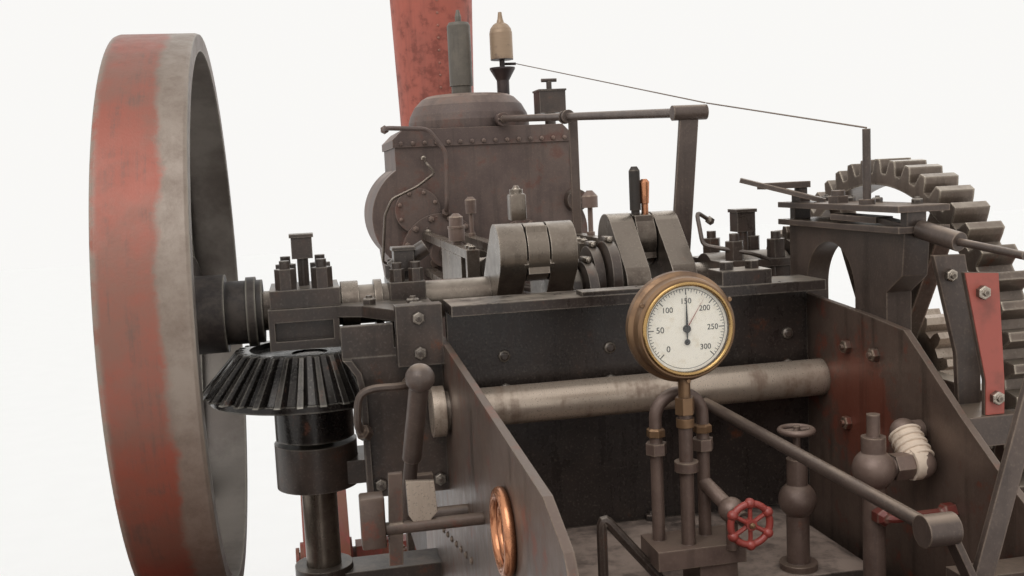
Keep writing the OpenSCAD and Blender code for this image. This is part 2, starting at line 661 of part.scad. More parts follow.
// Left bracket: bearing bodies with a flange round the top, a C shaped web and the upright shaft's bearings
module bearing_bracket() color([0.27, 0.25, 0.24]) from_crank() {
    x0 = -865;
    x1 = -horn_x;
    body_r = x0 + 180;
    under = 10 - bevel_drop;
    web_y = bracket_y;
    web_foot = -420;
    foot_z = -460;
    foot_top = -345;
    mid_z = -740;
    difference() {
        union() {
            difference() {
                block([x0, body_r - 10], [-115, 115], [under, split_z]);
                block([x0 + 15, body_r - 25], [-116, -90], [under + 22, split_z - 33]);
            }
            block([body_r - 11, x1], [web_y, 115], [under, under + 18]);
            block([inner_bearing, x1], [-90, 90], [under + 17, split_z]);
            translate([0, 0, split_z - 28]) linear_extrude(28)
                polygon([[x0, -115], [-700, -115], [-640, -150], [-590, -240], [-560, web_y + 6], [x1, web_y - 24],
                         [x1, 115], [x0, 115]]);
            block([inner_bearing - 10, x1], [web_y - 44, web_y + 1], [-110, 30]);
            block([-700, -580], [web_y, web_y + 20], [under, split_z - 27]);
        }
        xcyl(x0 - 1, body_r, 0, 0, shaft_r + run);
        xcyl(inner_bearing - 1, x1 + 1, 0, 0, shaft_r + run);
        xcyl(body_r - 4, inner_bearing, 0, 0, 62 + gap);
    }
    translate([0, web_y + 20, 0]) rotate([90, 0, 0]) linear_extrude(20)
        polygon([[-700, under - seat], [-690, -100], [-672, -128], [-664, -170], [-662, web_foot],
                 [x1, web_foot], [x1, under - seat]]);
    translate([0, web_y - seat, 0]) rotate([90, 0, 0]) linear_extrude(24)
        polygon([[-700, under - seat], [-690, -100], [-672, -128], [-664, -170], [-662, web_foot],
                 [-648, web_foot], [-650, -168], [-659, -121], [-679, -90]]);
    block([x1 - 12, x1], [-110, 110], [-300, under - seat]);
    for (b = [[foot_z, foot_top, 105, 75, [-450, -390]], [mid_z, mid_z + 65, 75, 55, [-730, -690]]]) difference() {
        union() {
            zcyl(b[0], b[1], -upright_x, 0, b[2]);
            block([-upright_x, x1], [-b[3], b[3]], b[4]);
        }
        zcyl(b[0] - 1, b[1] + 1, -upright_x, 0, upright_r + run);
    }
}

// Bearing caps and blocks: left face, width, half depth, underside, top, oil pot's top
module crank_bearings() color([0.24, 0.23, 0.22]) from_crank() {
    for (b = [[-859, 170, 106, split_z + seat, 58, 190], [inner_bearing + 2, 90, 88, split_z + seat, 58, 142],
              [306, 230, 105, -92, 38, 190]]) {
        x = b[0];
        w = b[1];
        deep = b[2];
        right = x > 0;
        difference() {
            union() {
                block([x, x + w], [-deep, deep], [b[3], b[4]]);
                if (right) xcyl(x, x + w, 0, 0, 74);
                if (right) block([x, x + w], [-deep - 6, deep + 6], [37, 58]);
            }
            xcyl(x - 1, x + w + 1, 0, 0, shaft_r + run);
        }
        for (dx = [0.24, 0.76], dy = [-0.75, 0.75]) translate([x + dx * w, dy * deep, 57]) {
            nut(w > 100 ? 26 : 19, w > 100 ? 52 : 34);
            cylinder(h = w > 100 ? 72 : 50, r = 13);
        }
        zcyl(57, b[5] - 60, x + w / 2, 0, 14);
        block([x + w / 2 - 26, x + w / 2 + 26], [-26, 26], [b[5] - 62, b[5] - 8]);
        block([x + w / 2 - 30, x + w / 2 + 30], [-30, 30], [b[5] - 9, b[5]]);
    }
}

// Stand on the right hornplate: arched web, two slotted plates, shift forks, gear lever and guide post
module gear_change_stand() color([0.27, 0.25, 0.25]) from_crank() {
    x0 = horn_x;
    stand_w = 60;
    plate_z = [152, 196];
    plate_h = 14;
    top = plate_z[1] + plate_h;
    stud_x = x0 + 20;
    difference() {
        side_plate(x0, stand_w, [[-185, -120], [-185, plate_z[0] + 1], [-710, plate_z[0] + 1], [-700, 60],
                                 [-640, 20], [-640, -150], [-540, -150]]);
        along_x(x0 - 1) translate([-390, -30, 0]) linear_extrude(stand_w + 2) {
            translate([0, 30]) circle(118);
            translate([-118, -100]) square([236, 130]);
        }
    }
    for (z = plate_z) block([x0 - 20, x0 + stand_w + 40], [-720, -160], [z, z + plate_h]);
    for (y = [-190, -700])
        block([x0 + 5, x0 + 50], [y - 12, y + 12], [plate_z[0] + plate_h - 1, plate_z[1] + 1]);
    for (y = [-210, -400]) {
        zcyl(top - 1, y < -300 ? 240 : 262, stud_x, y, 16);
        translate([stud_x, y, top - 1]) nut(26, 18);
    }
    block([x0 - 90, x0 + 36], [-232, -188], [246, 262]);
    flat_bar([x0 - 140, -200, 272], [x0 + 40, -300, 212], 40, 12);
    zcyl(top - 1, guide_post_z, x0 + 5, guide_post_y, 9);
    zcyl(top - 1, top + 12, x0 + 5, guide_post_y, 18);
    flat_bar([x0 - 7, -450, 181], [x0 + 20, -600, 176], 48, 14);
    flat_bar([x0 + 19, -596, 176], [x0 + 34, -725, 158], 32, 12);
    bar([x0 + 33, -718, 159], [x0 + 54, -820, 137], 20);
    bar([x0 + 52, -814, 138], [x0 + 80, -980, 118], 8);
    block([x0, x0 + 118], [-915, -780], [-260, -200]);
    translate([0, -895, 0]) rotate([90, 0, 0]) linear_extrude(10)
        polygon([[x0 + 50, -201], [x0 + 50, -130], [x0 + 4, 86], [x0 + 78, 81], [x0 + 92, -134], [x0 + 92, -201]]);
    translate([0, -795, 0]) rotate([90, 0, 0]) linear_extrude(12)
        polygon([[x0 + 60, -201], [x0 + 55, -93], [x0 + 4, 112], [x0 + 75, 110], [x0 + 110, -97], [x0 + 112, -201]]);
}

module second_shaft() color([0.5, 0.47, 0.43]) from_crank() {
    xcyl(-horn_x - 40, third_x + 80 + 10, second_y, -second_drop, second_r);
    xcyl(-horn_x - 39, -horn_x - 10, second_y, -second_drop, second_back + bracket_y - gap);
    along_x(third_x) translate([second_y, -second_drop]) linear_extrude(80)
        gear_2d(second_teeth, tooth_m, second_phase, second_r - 2);
}

module spur_gear() color([0.4, 0.38, 0.34]) from_crank() along_x(spur_x) translate([second_y, -second_drop])
    spoked_gear(spur_teeth, tooth_m, 0, spur_w, second_r + seat, 95, 6);

axle_phase = 0;
third_to_axle = bearing([rear_y, rear_z], third_c);
final_phase = mesh_phase(axle_teeth, axle_phase, third_to_axle, final_pinion_teeth);
third_phase = final_phase;
second_phase = mesh_phase(third_teeth, third_phase, bearing(third_c, [second_y, second_z]), second_teeth);

module third_shaft() color([0.4, 0.37, 0.33]) on_ground() {
    xcyl(horn_x + 3, final_x + final_w + 20, third_c[0], third_c[1], third_r);
    along_x(third_x) translate(third_c)
        spoked_gear(third_teeth, tooth_m, third_phase, 80, third_r - 2, 95, 6);
    along_x(final_x) translate(third_c)
        linear_extrude(final_w) gear_2d(final_pinion_teeth, final_m, final_phase, third_r - 2);
}

module rear_axle() color([0.35, 0.32, 0.3]) on_ground() {
    xcyl(-rear_in - rear_w - 20, rear_in + rear_w + 20, rear_y, rear_z, rear_axle_r);
    for (s = [-1, 1]) xcyl(s > 0 ? horn_x : -horn_x - 90, s > 0 ? horn_x + 90 : -horn_x, rear_y, rear_z, 130);
    for (s = [-1, 1]) xcyl(s > 0 ? 1428 : -1448, s > 0 ? 1448 : -1428, rear_y, rear_z, 105);
}

// Wheel on local z with its inner face at z = 0: rim, strakes, T rings, two spoke rows, hub
module traction_wheel(r, w, rim_t, bars_n, bar_h, spokes_n, hub_r, hub_in, hub_out, bore_r, ring_at) {
    rim_r = r - bar_h;
    difference() {
        union() {
            rotate_extrude() polygon([[rim_r - rim_t, 0], [rim_r, 0], [rim_r, w], [rim_r - rim_t, w]]);
            for (z = ring_at) translate([0, 0, z - 9]) rotate_extrude()
                translate([rim_r - rim_t - 60, 0]) square([62, 18]);
            if (bars_n > 0) intersection() {
                rotate_extrude() translate([rim_r - 4, 0]) square([bar_h + 4, w]);
                for (i = [0:bars_n - 1]) rotate(i * 360 / bars_n) translate([rim_r + 5, 0, w / 2])
                    rotate([35, 0, 0]) cube([60, 44, w * 1.4], center = true);
            }
            translate([0, 0, -hub_in]) cylinder(h = w + hub_in + hub_out, r = hub_r);
            for (z = [ring_at[0] - 60, ring_at[1] + 60])
                translate([0, 0, z - 10]) cylinder(h = 20, r = hub_r + 70);
            for (row = [0, 1], i = [0:spokes_n - 1]) rotate((i + row / 2) * 360 / spokes_n) {
                z0 = row == 0 ? ring_at[0] - 60 : ring_at[1] + 60;
                z1 = ring_at[row];
                run_r = rim_r - rim_t - 30 - hub_r - 30;
                translate([hub_r + 30, 0, z0]) rotate([0, -atan2(z1 - z0, run_r), 0])
                    translate([0, -38, -7]) cube([norm([run_r, z1 - z0]), 76, 14]);
            }
        }
        translate([0, 0, -hub_in - 1]) cylinder(h = w + hub_in + hub_out + 2, r = bore_r);
    }
}
module rear_wheel() traction_wheel(rear_r, rear_w, 24, strakes, strake_h, rear_spokes, 135, 20, 4,
                                   rear_axle_r + run, [110, rear_w - 110]);
module rear_wheel_right() color([0.42, 0.22, 0.18]) on_ground()
    along_x(rear_in) translate([rear_y, rear_z]) rear_wheel();
module rear_wheel_left() color([0.42, 0.22, 0.18]) on_ground()
    mirror([1, 0, 0]) along_x(rear_in) translate([rear_y, rear_z]) rear_wheel();

module axle_gear() color([0.36, 0.33, 0.3]) on_ground() along_x(final_x) translate([rear_y, rear_z]) {
    spoked_gear(axle_teeth, final_m, axle_phase, final_w, rear_axle_r + run, 150, 8);
}

module front_wheel() traction_wheel(front_r, front_w, 22, 0, 0, front_spokes, 95, 24, 30,
                                    front_axle_r + run, [80, front_w - 80]);
module front_wheel_right() color([0.42, 0.22, 0.18]) on_ground()
    along_x(front_in) translate([front_y, front_z]) front_wheel();
module front_wheel_left() color([0.42, 0.22, 0.18]) on_ground()
    mirror([1, 0, 0]) along_x(front_in) translate([front_y, front_z]) front_wheel();

module front_axle() color([0.3, 0.27, 0.25]) on_ground() {
    beam_half = front_in - 45;
    block([-beam_half, beam_half], [front_y - 60, front_y + 60], [front_z - 60, front_z + 60]);
    for (s = [-1, 1]) {
        xcyl(s > 0 ? beam_half - 1 : -front_in - front_w - 55, s > 0 ? front_in + front_w + 55 : -beam_half + 1,
             front_y, front_z, front_axle_r);
        xcyl(s > 0 ? front_in + front_w + 36 : -front_in - front_w - 56,
             s > 0 ? front_in + front_w + 56 : -front_in - front_w - 36, front_y, front_z, 66);
        zcyl(front_z + 59, front_z + 75, s * chain_eye_x, front_y - 20, 26);
    }
    zcyl(front_z + 59, front_z + 70, 0, front_y, 120);
    zcyl(front_z + 59, smokebox_bottom - 12, 0, front_y, perch_pin_r);
}

module perch_bracket() color([0.27, 0.25, 0.23]) on_ground() difference() {
    union() {
        zcyl(front_z + 71, smokebox_bottom, 0, front_y, 135);
        block([-230, 230], [front_y - 190, front_y + 190], [smokebox_bottom - 50, smokebox_bottom + 90]);
    }
    ycyl(front_y - 400, front_y + 400, 0, barrel_z, smokebox_d / 2 + seat);
    zcyl(front_z + 60, smokebox_bottom - 9, 0, front_y, perch_pin_r + run);
}

// Handwheel on the footplate, cross shaft, long steering shaft, worm box and chain barrel
module steering_gear() color([0.3, 0.28, 0.27]) on_ground() {
    side_x = -horn_x - 90;
    top = [side_x, steer_y, steer_z];
    foot = [side_x, chain_barrel_y, chain_barrel_z + 65];
    bar(top, foot, 17);
    xcyl(side_x, steer_x, steer_y, steer_z, 17);
    block([side_x - 40, side_x + 40], [steer_y - 50, steer_y + 50], [steer_z - 40, steer_z + 40]);
    zcyl(floor_z, wheel_hub_z, steer_x, steer_y, 17);
    zcyl(floor_z, floor_z + 100, steer_x, steer_y, 45);
    translate([steer_x, steer_y, wheel_hub_z]) {
        rotate_extrude() translate([190, 0]) circle(13);
        for (i = [0:4]) rotate(i * 72) translate([10, 0, 0]) rotate([0, 90, 0]) cylinder(h = 182, r = 8);
        translate([0, 0, -20]) cylinder(h = 40, r = 30);
    }
    xcyl(side_x - 40, 330, chain_barrel_y, chain_barrel_z, 28);
    xcyl(-290, 290, chain_barrel_y, chain_barrel_z, chain_barrel_r);
    block([side_x - 50, side_x + 45], [chain_barrel_y - 60, chain_barrel_y + 60],
          [chain_barrel_z - 45, chain_barrel_z + 95]);
    for (x = [-400, 300]) difference() {
        block([x, x + 30], [chain_barrel_y - 45, chain_barrel_y + 45], [chain_barrel_z - 35, barrel_z - 60]);
        ycyl(chain_barrel_y - 60, chain_barrel_y + 60, 0, barrel_z, barrel_d / 2 + seat);
    }
}

// Chain links alternate flat and upright between the chain barrel and the axle eyes
module steering_chains() color([0.28, 0.25, 0.23]) on_ground() for (s = [-1, 1]) {
    a = [s * 230, chain_barrel_y + chain_barrel_r, chain_barrel_z];
    b = [s * (chain_eye_x - 12), front_y - 60, front_z + 96];
    d = b - a;
    links = 22;
    pitch = norm(d) / links;
    for (i = [0:links - 1]) translate(a + d * (i + (i == 0 ? 0.75 : 0.5)) / links)
        rotate([0, acos(d[2] / norm(d)), atan2(d[1], d[0])]) rotate(i % 2 * 90)
            translate([-5, -14, -pitch * 0.62]) cube([10, 28, pitch * 1.24]);
    difference() {
        xcyl(a[0] - 40, a[0] + 40, chain_barrel_y, chain_barrel_z, chain_barrel_r + 22);
        xcyl(a[0] - 41, a[0] + 41, chain_barrel_y, chain_barrel_z, chain_barrel_r + seat);
    }
}

module vertical_shaft() color([0.36, 0.33, 0.3]) {
    on_ground() {
        zcyl(ring_z - 40, crank_z - bevel_drop - 20, upright_c[0], upright_c[1], upright_r);
        translate([upright_c[0], upright_c[1], ring_z]) linear_extrude(ring_h)
            gear_2d(upright_teeth, tooth_m, upright_phase, upright_r - 2);
    }
}

// Bevel wheel: teeth on a cone that narrows upwards, over a plain dish
module bevel_gear() color([0.2, 0.19, 0.18]) from_crank() translate([upright_c[0], upright_c[1], -bevel_drop]) {
    small = 0.66;
    hub_h = 236;
    difference() {
        union() {
            translate([0, 0, -bevel_h]) linear_extrude(bevel_h, scale = small)
                gear_2d(bevel_teeth, 2 * bevel_r / (bevel_teeth + 2 * addendum), 5, 60);
            translate([0, 0, -bevel_h - 18]) cylinder(h = 19, r = bevel_r - 22);
            translate([0, 0, -hub_h]) cylinder(h = hub_h - 12, r = 100);
        }
        translate([0, 0, -16]) cylinder(h = 20, r = bevel_r * small - 34);
        translate([0, 0, -hub_h - 1]) cylinder(h = hub_h + 40, r = upright_r + seat);
    }
}

ring_phase = 0;
idler_phase = mesh_phase(ring_teeth, ring_phase, bearing(drum_c, idler_c), idler_teeth);
upright_phase = mesh_phase(idler_teeth, idler_phase, bearing(idler_c, upright_c), upright_teeth);
idler_bore = 36;
drum_stud_r = 70;

module idler_gear() color([0.36, 0.33, 0.3]) on_ground() translate([idler_c[0], idler_c[1], ring_z])
    linear_extrude(ring_h) gear_2d(idler_teeth, tooth_m, idler_phase, idler_bore + run);

module winding_drum() color([0.38, 0.33, 0.29]) on_ground() translate([drum_c[0], drum_c[1], 0]) {
    ring_in = ring_teeth * tooth_m / 2 - 60;
    translate([0, 0, ring_z]) linear_extrude(ring_h) gear_2d(ring_teeth, tooth_m, ring_phase, ring_in);
    difference() {
        union() {
            translate([0, 0, ring_z + 20]) cylinder(h = 50, r = ring_in + 2);
            translate([0, 0, ring_z + 60]) cylinder(h = drum_top - ring_z - 90, r = 540);
            translate([0, 0, drum_top - 34]) cylinder(h = 34, r = 735);
        }
        translate([0, 0, ring_z + 120]) cylinder(h = drum_top, r = 500);
        translate([0, 0, ring_z - 1]) cylinder(h = 200, r = drum_stud_r + run);
        for (i = [0:5]) rotate(i * 60) translate([300, 0, ring_z - 1]) cylinder(h = 200, r = 110);
    }
    difference() {
        translate([0, 0, ring_z + 10]) cylinder(h = 190, r = 120);
        translate([0, 0, ring_z]) cylinder(h = 240, r = drum_stud_r + run);
    }
}

module drum_bracket() color([0.27, 0.25, 0.23]) on_ground() {
    zcyl(ring_z - 45, ring_z - 6, drum_c[0], drum_c[1], 105);
    difference() {
        union() {
            block([-180, 180], [drum_y - 180, drum_y + 180], [drum_top + 12, barrel_bottom + 130]);
            zcyl(ring_z - 25, barrel_bottom + 40, drum_c[0], drum_c[1], drum_stud_r);
        }
        ycyl(drum_y - 200, drum_y + 200, 0, barrel_z, barrel_d / 2 + seat);
    }
    zcyl(ring_z - 40, ring_z + ring_h + 40, idler_c[0], idler_c[1], idler_bore);
    block([-horn_x - 12, -horn_x], [-75, 280], [ring_z - 62, firebox_foot + 260]);
    difference() {
        for (z = [[ring_z - 62, ring_z - 22], [ring_z + ring_h + 30, ring_z + ring_h + 70]])
            block([upright_c[0] - 75, -horn_x - 5], [-75, idler_c[1] + 60], z);
        zcyl(ring_z - 70, ring_z + ring_h + 80, upright_c[0], upright_c[1], upright_r + run);
    }
}

module tender() color([0.36, 0.2, 0.17]) on_ground() {
    t = plate_t;
    shovel_lip = 160;
    block([-tender_half, tender_half], [tender_back, tender_front], [tank_foot, floor_z]);
    difference() {
        block([-tender_half, tender_half], [tender_back, tender_front], [floor_z + seat, tender_top]);
        block([-tender_half + t, tender_half - t], [tender_back + t, tender_front - t], [floor_z, tender_top + 1]);
        block([-horn_x + 40, horn_x - 40], [tender_front - t - 1, tender_front + 1], [floor_z + shovel_lip, tender_top + 1]);
    }
    block([-horn_x + horn_t, horn_x - horn_t], [tender_front + seat, firebox_back - 35], [floor_z - 14, floor_z]);
}

module drawbar() color([0.25, 0.23, 0.22]) on_ground() difference() {
    union() {
        block([-150, 150], [tender_back - 20, tender_back], [780, 980]);
        block([-60, 60], [-tail_y + 60, tender_back - 10], [850, 900]);
        zcyl(850, 900, 0, -tail_y + 60, 60);
    }
    zcyl(840, 910, 0, -tail_y + 60, hitch_r);
}

module pressure_gauge() color([0.55, 0.42, 0.25]) from_crank() translate([-50, -800, 0]) rotate([90, 0, 0]) {
    translate([0, 0, -gauge_depth]) difference() {
        rotate_extrude() polygon([[0, 0], [gauge_r - 14, 0], [gauge_r, 10], [gauge_r, 26], [gauge_r - 8, 34],
                                  [gauge_r - 10, gauge_depth - 6], [gauge_r - 14, gauge_depth], [0, gauge_depth]]);
        translate([0, 0, gauge_depth - 10]) cylinder(h = 20, r = dial_r);
    }
    translate([0, -gauge_r - 34, -gauge_depth / 2]) rotate([-90, 0, 0]) cylinder(h = 60, r = 12);
    translate([0, -gauge_r - 64, -gauge_depth / 2]) rotate([-90, 0, 0]) nut(20, 34);
}

// Gauge pipes with their cock, the small valve with a flat handwheel, and the main globe valve
module backhead_fittings() color([0.45, 0.36, 0.28]) from_crank() {
    deck = firebox_top - crank_z;
    nut_z = -gauge_r - 64;
    tube_y = -800 + gauge_depth / 2;
    cock = [30, -800, -370];
    small = [222, -700];
    globe = [312, -850, -302];
    arch = [-48, -728, -190];
    inlet_z = deck - 70;
    block([-125, 60], [-800, -690], [deck + 70, deck + 110]);
    block([-35, 45], [-790, firebox_back + 60], [deck, deck + 71]);
    zcyl(deck + 109, nut_z, -50, tube_y, 14);
    zcyl(-290, -270, -50, tube_y, 24);
    for (x = [-50, 50]) zcyl(deck + 109, arch[2], arch[0] + x, arch[1], 13);
    translate(arch) rotate([90, 0, 0]) rotate_extrude(angle = 180) translate([50, 0]) circle(13);
    for (x = [-50, 50]) translate([arch[0] + x, arch[1], -262]) nut(22, 24);
    bar([2, arch[1], -330], cock, 15);
    translate(cock) sphere(r = 26);
    zcyl(cock[2] - 80, cock[2], cock[0], cock[1], 12);
    ycyl(cock[1] - 62, cock[1], cock[0], cock[2], 14);
    ycyl(cock[1] - 96, cock[1] - 61, cock[0], cock[2], 7);
    zcyl(deck, deck + 14, small[0], small[1], 40);
    zcyl(deck, -400, small[0], small[1], 24);
    translate([small[0], small[1], -400]) sphere(r = 40);
    zcyl(-400, -310, small[0], small[1], 22);
    zcyl(-311, -240, small[0], small[1], 8);
    translate([small[0], small[1], -250]) rotate_extrude() translate([33, 0]) circle(7);
    for (i = [0:2]) translate([small[0], small[1], -250]) rotate(i * 60) xcyl(-33, 33, 0, 0, 5);
    translate(globe) sphere(r = 42);
    zcyl(globe[2] + 30, -235, globe[0], globe[1], 24);
    zcyl(-236, -190, globe[0], globe[1], 13);
    xcyl(globe[0], globe[0] + 44, globe[1], globe[2], 22);
    along_x(globe[0] + 40) translate([globe[1], globe[2], 0]) nut(28, 38);
    xcyl(globe[0] + 77, globe[0] + 104, globe[1], globe[2], 24);
    translate([globe[0] + 104, globe[1], globe[2]]) sphere(r = 30);
    bar([globe[0] + 104, globe[1], globe[2]], [globe[0] + 104, -790, -250], 24);
    translate([globe[0] + 104, -790, -250]) sphere(r = 28);
    xcyl(globe[0] + 104, horn_x - horn_t - seat, -790, -250, 22);
    zcyl(inlet_z, globe[2], globe[0], globe[1], 22);
    translate([globe[0], globe[1], inlet_z]) sphere(r = 26);
    ycyl(globe[1], firebox_back - seat, globe[0], inlet_z, 22);
}

// Winding clutch lever, firehole handle, diagonal control rod with its cross shaft, and the long lever
module control_levers() color([0.3, 0.28, 0.27]) from_crank() {
    plate_in = horn_x - horn_t;
    ball = [-572, -770, -57];
    elbow = [-600, -600, -378];
    eye = [216, -1200, -299];
    long_foot = [285, -1200, -450];
    long_top = [420, -1200, 0];
    translate(ball) sphere(r = 28);
    bar(ball, ball + (elbow - ball) * 0.55, 19);
    bar(ball + (elbow - ball) * 0.5, elbow, 14);
    xcyl(elbow[0] - 15, -horn_x, elbow[1], elbow[2], 14);
    block([elbow[0], elbow[0] + 60], [elbow[1] - 10, elbow[1] + 10], [elbow[2] + 13, elbow[2] + 88]);
    bar([130, second_y - second_r - 10, -240], eye, 13);
    xcyl(eye[0] - 24, eye[0] + 34, eye[1], eye[2], 27);
    flat_bar([eye[0] + 22, eye[1], eye[2]], [long_foot[0] + 10, eye[1], -420], 34, 12);
    block([290, plate_in], [-1180, -1120], [-450, -400]);
    block([long_foot[0] - 5, long_foot[0] + 60], [-1215, -1179], [-450, -400]);
    flat_bar(long_foot, long_top, 12, 36);
    bar(long_top - [3, 0, 10], long_top + [24, 0, 80], 16);
}

// Regulator rod from the dome's gland to its bar, the rod's post, and the taut whistle wire's three lengths
module regulator_gear() color([0.33, 0.3, 0.31]) from_crank() {
    head = [352, 200, 468];
    pivot = [300, 200, -75];
    gland_y = block_y - 45 - seat;
    slope = (regulator_z - head[2]) / (gland_y - head[1]);
    collar_y = 1000;
    collar_x = head[0] - 34 + (regulator_x - head[0] + 34) * (collar_y - head[1]) / (gland_y - head[1]);
    collar_z = head[2] + slope * (collar_y - head[1]);
    wire = [[whistle_x + 62 + wire_r + seat, whistle_y, dome_top + 134], [head[0] + 52, head[1], head[2] + 26],
            [horn_x + 5, guide_post_y, guide_post_z + wire_r + seat]];
    ycyl(gland_y - 24, gland_y, regulator_x, regulator_z, 16);
    bar([regulator_x, gland_y - 12, regulator_z], [head[0] - 34, head[1], head[2]], 14);
    for (y = [collar_y - 30, collar_y + 16]) ycyl(y, y + 14, collar_x, collar_z, 24);
    translate([0, head[1] + 7, 0]) rotate([90, 0, 0]) linear_extrude(14)
        polygon([[pivot[0] - 28, pivot[2]], [pivot[0] + 28, pivot[2]],
                 [head[0] + 28, head[2] + 8], [head[0] - 28, head[2] + 8]]);
    xcyl(head[0] - 52, head[0] + 52, head[1], head[2], 22);
    xcyl(pivot[0] - 24, horn_x - horn_t, pivot[1], pivot[2], 18);
    block([200, 232], [collar_y - 7, collar_y + 7], [bar_in + bar_h, collar_z]);
    for (i = [0:1]) bar(wire[i], wire[i + 1], wire_r);
    translate(wire[1]) sphere(r = 2.5 * wire_r);
}

boiler_barrel();
firebox();
firehole_door();
smokebox();
smokebox_door();
chimney();
cylinder_block();
safety_valve();
whistle();
lubricator();
slide_bars();
crossheads();
valve_gear();
low_pressure_rod();
high_pressure_rod();
crankshaft();
flywheel();
crossplate();
hornplates();
bearing_bracket();
crank_bearings();
gear_change_stand();
second_shaft();
spur_gear();
third_shaft();
rear_axle();
rear_wheel_left();
rear_wheel_right();
axle_gear();
front_axle();
front_wheel_left();
front_wheel_right();
perch_bracket();
steering_gear();
steering_chains();
vertical_shaft();
bevel_gear();
idler_gear();
winding_drum();
drum_bracket();
tender();
drawbar();
pressure_gauge();
backhead_fittings();
control_levers();
regulator_gear();
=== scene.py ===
"""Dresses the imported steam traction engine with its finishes, fastenings, pipes and fittings.

Everything is in metres in the engine's own frame, which starts on the ground: +X is its right, +Y is
forward and +Z is up. The sub-assemblies give places from the middle of the crankshaft, through at.
"""

from __future__ import annotations

import json
import logging
import math
from dataclasses import dataclass, field
from enum import Enum
from typing import Any, Callable, Iterable, Sequence

import bmesh
import bpy
from mathutils import Matrix, Vector

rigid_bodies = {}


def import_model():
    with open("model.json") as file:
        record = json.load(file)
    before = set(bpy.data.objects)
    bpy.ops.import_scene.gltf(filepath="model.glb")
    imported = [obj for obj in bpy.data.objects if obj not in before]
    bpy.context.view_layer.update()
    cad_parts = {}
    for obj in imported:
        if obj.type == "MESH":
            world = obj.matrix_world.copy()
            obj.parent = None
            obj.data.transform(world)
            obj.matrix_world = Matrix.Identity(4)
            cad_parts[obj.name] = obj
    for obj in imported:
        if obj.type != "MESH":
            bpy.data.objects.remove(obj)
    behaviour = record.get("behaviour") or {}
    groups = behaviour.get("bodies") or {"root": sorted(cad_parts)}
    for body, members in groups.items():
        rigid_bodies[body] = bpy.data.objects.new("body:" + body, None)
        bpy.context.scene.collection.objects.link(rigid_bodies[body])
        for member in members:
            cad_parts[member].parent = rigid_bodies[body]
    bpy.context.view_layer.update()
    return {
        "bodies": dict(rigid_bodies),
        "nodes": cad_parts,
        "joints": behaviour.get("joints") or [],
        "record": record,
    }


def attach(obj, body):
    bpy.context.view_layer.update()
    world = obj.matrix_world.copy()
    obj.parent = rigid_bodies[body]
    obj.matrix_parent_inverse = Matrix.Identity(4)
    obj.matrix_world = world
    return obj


LOG = logging.getLogger("engine")

Point = tuple[float, float, float]
Colour = tuple[float, float, float]
Card = tuple[int, int, int]
Places = Iterable[Vector]
Sockets = dict[Any, Any]

CRANK = Vector((0.0, -0.65, 2.45))
X = Vector((1.0, 0.0, 0.0))
Y = Vector((0.0, 1.0, 0.0))
Z = Vector((0.0, 0.0, 1.0))
SIDES = (-1, 1)
SHARP_ANGLE = math.radians(34)
RIVET_HEAD = 0.0085


def at(x: float, y: float, z: float) -> Vector:
    """Gives the place of a point measured from the middle of the crankshaft."""
    return Vector((x, y, z)) + CRANK


def paint(card: Card) -> Colour:
    """Turns a paint card's red, green and blue, 0 to 255, into a shader's linear colour."""
    parts = (value / 255 for value in card)
    return tuple(part / 12.92 if part <= 0.04045 else ((part + 0.055) / 1.055) ** 2.4 for part in parts)


def circle(centre: Vector, axis: Vector, radius: float, count: int, start: float = 0.0) -> list[Vector]:
    """Gives evenly spaced places on a circle.

    Args:
        centre: The circle's middle.
        axis: The line that it lies square to.
        radius: Its radius.
        count: How many places.
        start: Turn of the first, in degrees.

    Returns:
        The places.
    """
    out = (Z if abs(axis.z) < 0.5 else Y) * radius
    first = math.radians(start)
    turns = (Matrix.Rotation(first + math.tau * step / count, 3, axis) for step in range(count))
    return [centre + turn @ out for turn in turns]


def line(start: Point, end: Point, count: int) -> list[Vector]:
    """Gives evenly spaced places from start to end, both given from the crankshaft."""
    return [at(*start).lerp(at(*end), step / (count - 1)) for step in range(count)]


def add_object(name: str, data: bpy.types.ID) -> bpy.types.Object:
    """Puts an object into the scene.

    Args:
        name: The object's name.
        data: What it shows.

    Returns:
        The object.
    """
    made = bpy.data.objects.new(name, data)
    bpy.context.scene.collection.objects.link(made)
    return made


# Shader tools


def operation(name: str, swapped: bool = False) -> Callable[[Value, Value | float], Value]:
    """Makes a method that adds a Math node over a value and another term.

    Args:
        name: The node's operation.
        swapped: Puts the other term first.

    Returns:
        The method.
    """

    def method(value: Value, other: Value | float) -> Value:
        """Adds the Math node."""
        first, second = (other, value) if swapped else (value, other)
        return value.tree.node("Math", {"operation": name}, {0: first, 1: second})

    return method


class Value:
    """A shader socket that adds Math nodes when it is used in an expression."""

    __add__ = operation("ADD")
    __radd__ = operation("ADD", swapped=True)
    __sub__ = operation("SUBTRACT")
    __rsub__ = operation("SUBTRACT", swapped=True)
    __mul__ = operation("MULTIPLY")
    __truediv__ = operation("DIVIDE")
    larger = operation("MAXIMUM")
    smaller = operation("MINIMUM")

    def __init__(self, tree: Tree, socket: bpy.types.NodeSocket) -> None:
        """Wraps a socket of a tree."""
        self.tree = tree
        self.socket = socket

    def __abs__(self) -> Value:
        """Drops the sign."""
        return self.tree.node("Math", {"operation": "ABSOLUTE"}, {0: self})

    def step(self, low: float, high: float) -> Value:
        """Rises smoothly from 0 at low to 1 at high, or falls where low is the larger."""
        ends = {1: low, 2: high, 3: 0.0, 4: 1.0} if low < high else {1: high, 2: low, 3: 1.0, 4: 0.0}
        return self.tree.node("MapRange", {"interpolation_type": "SMOOTHSTEP"}, {0: self, **ends})


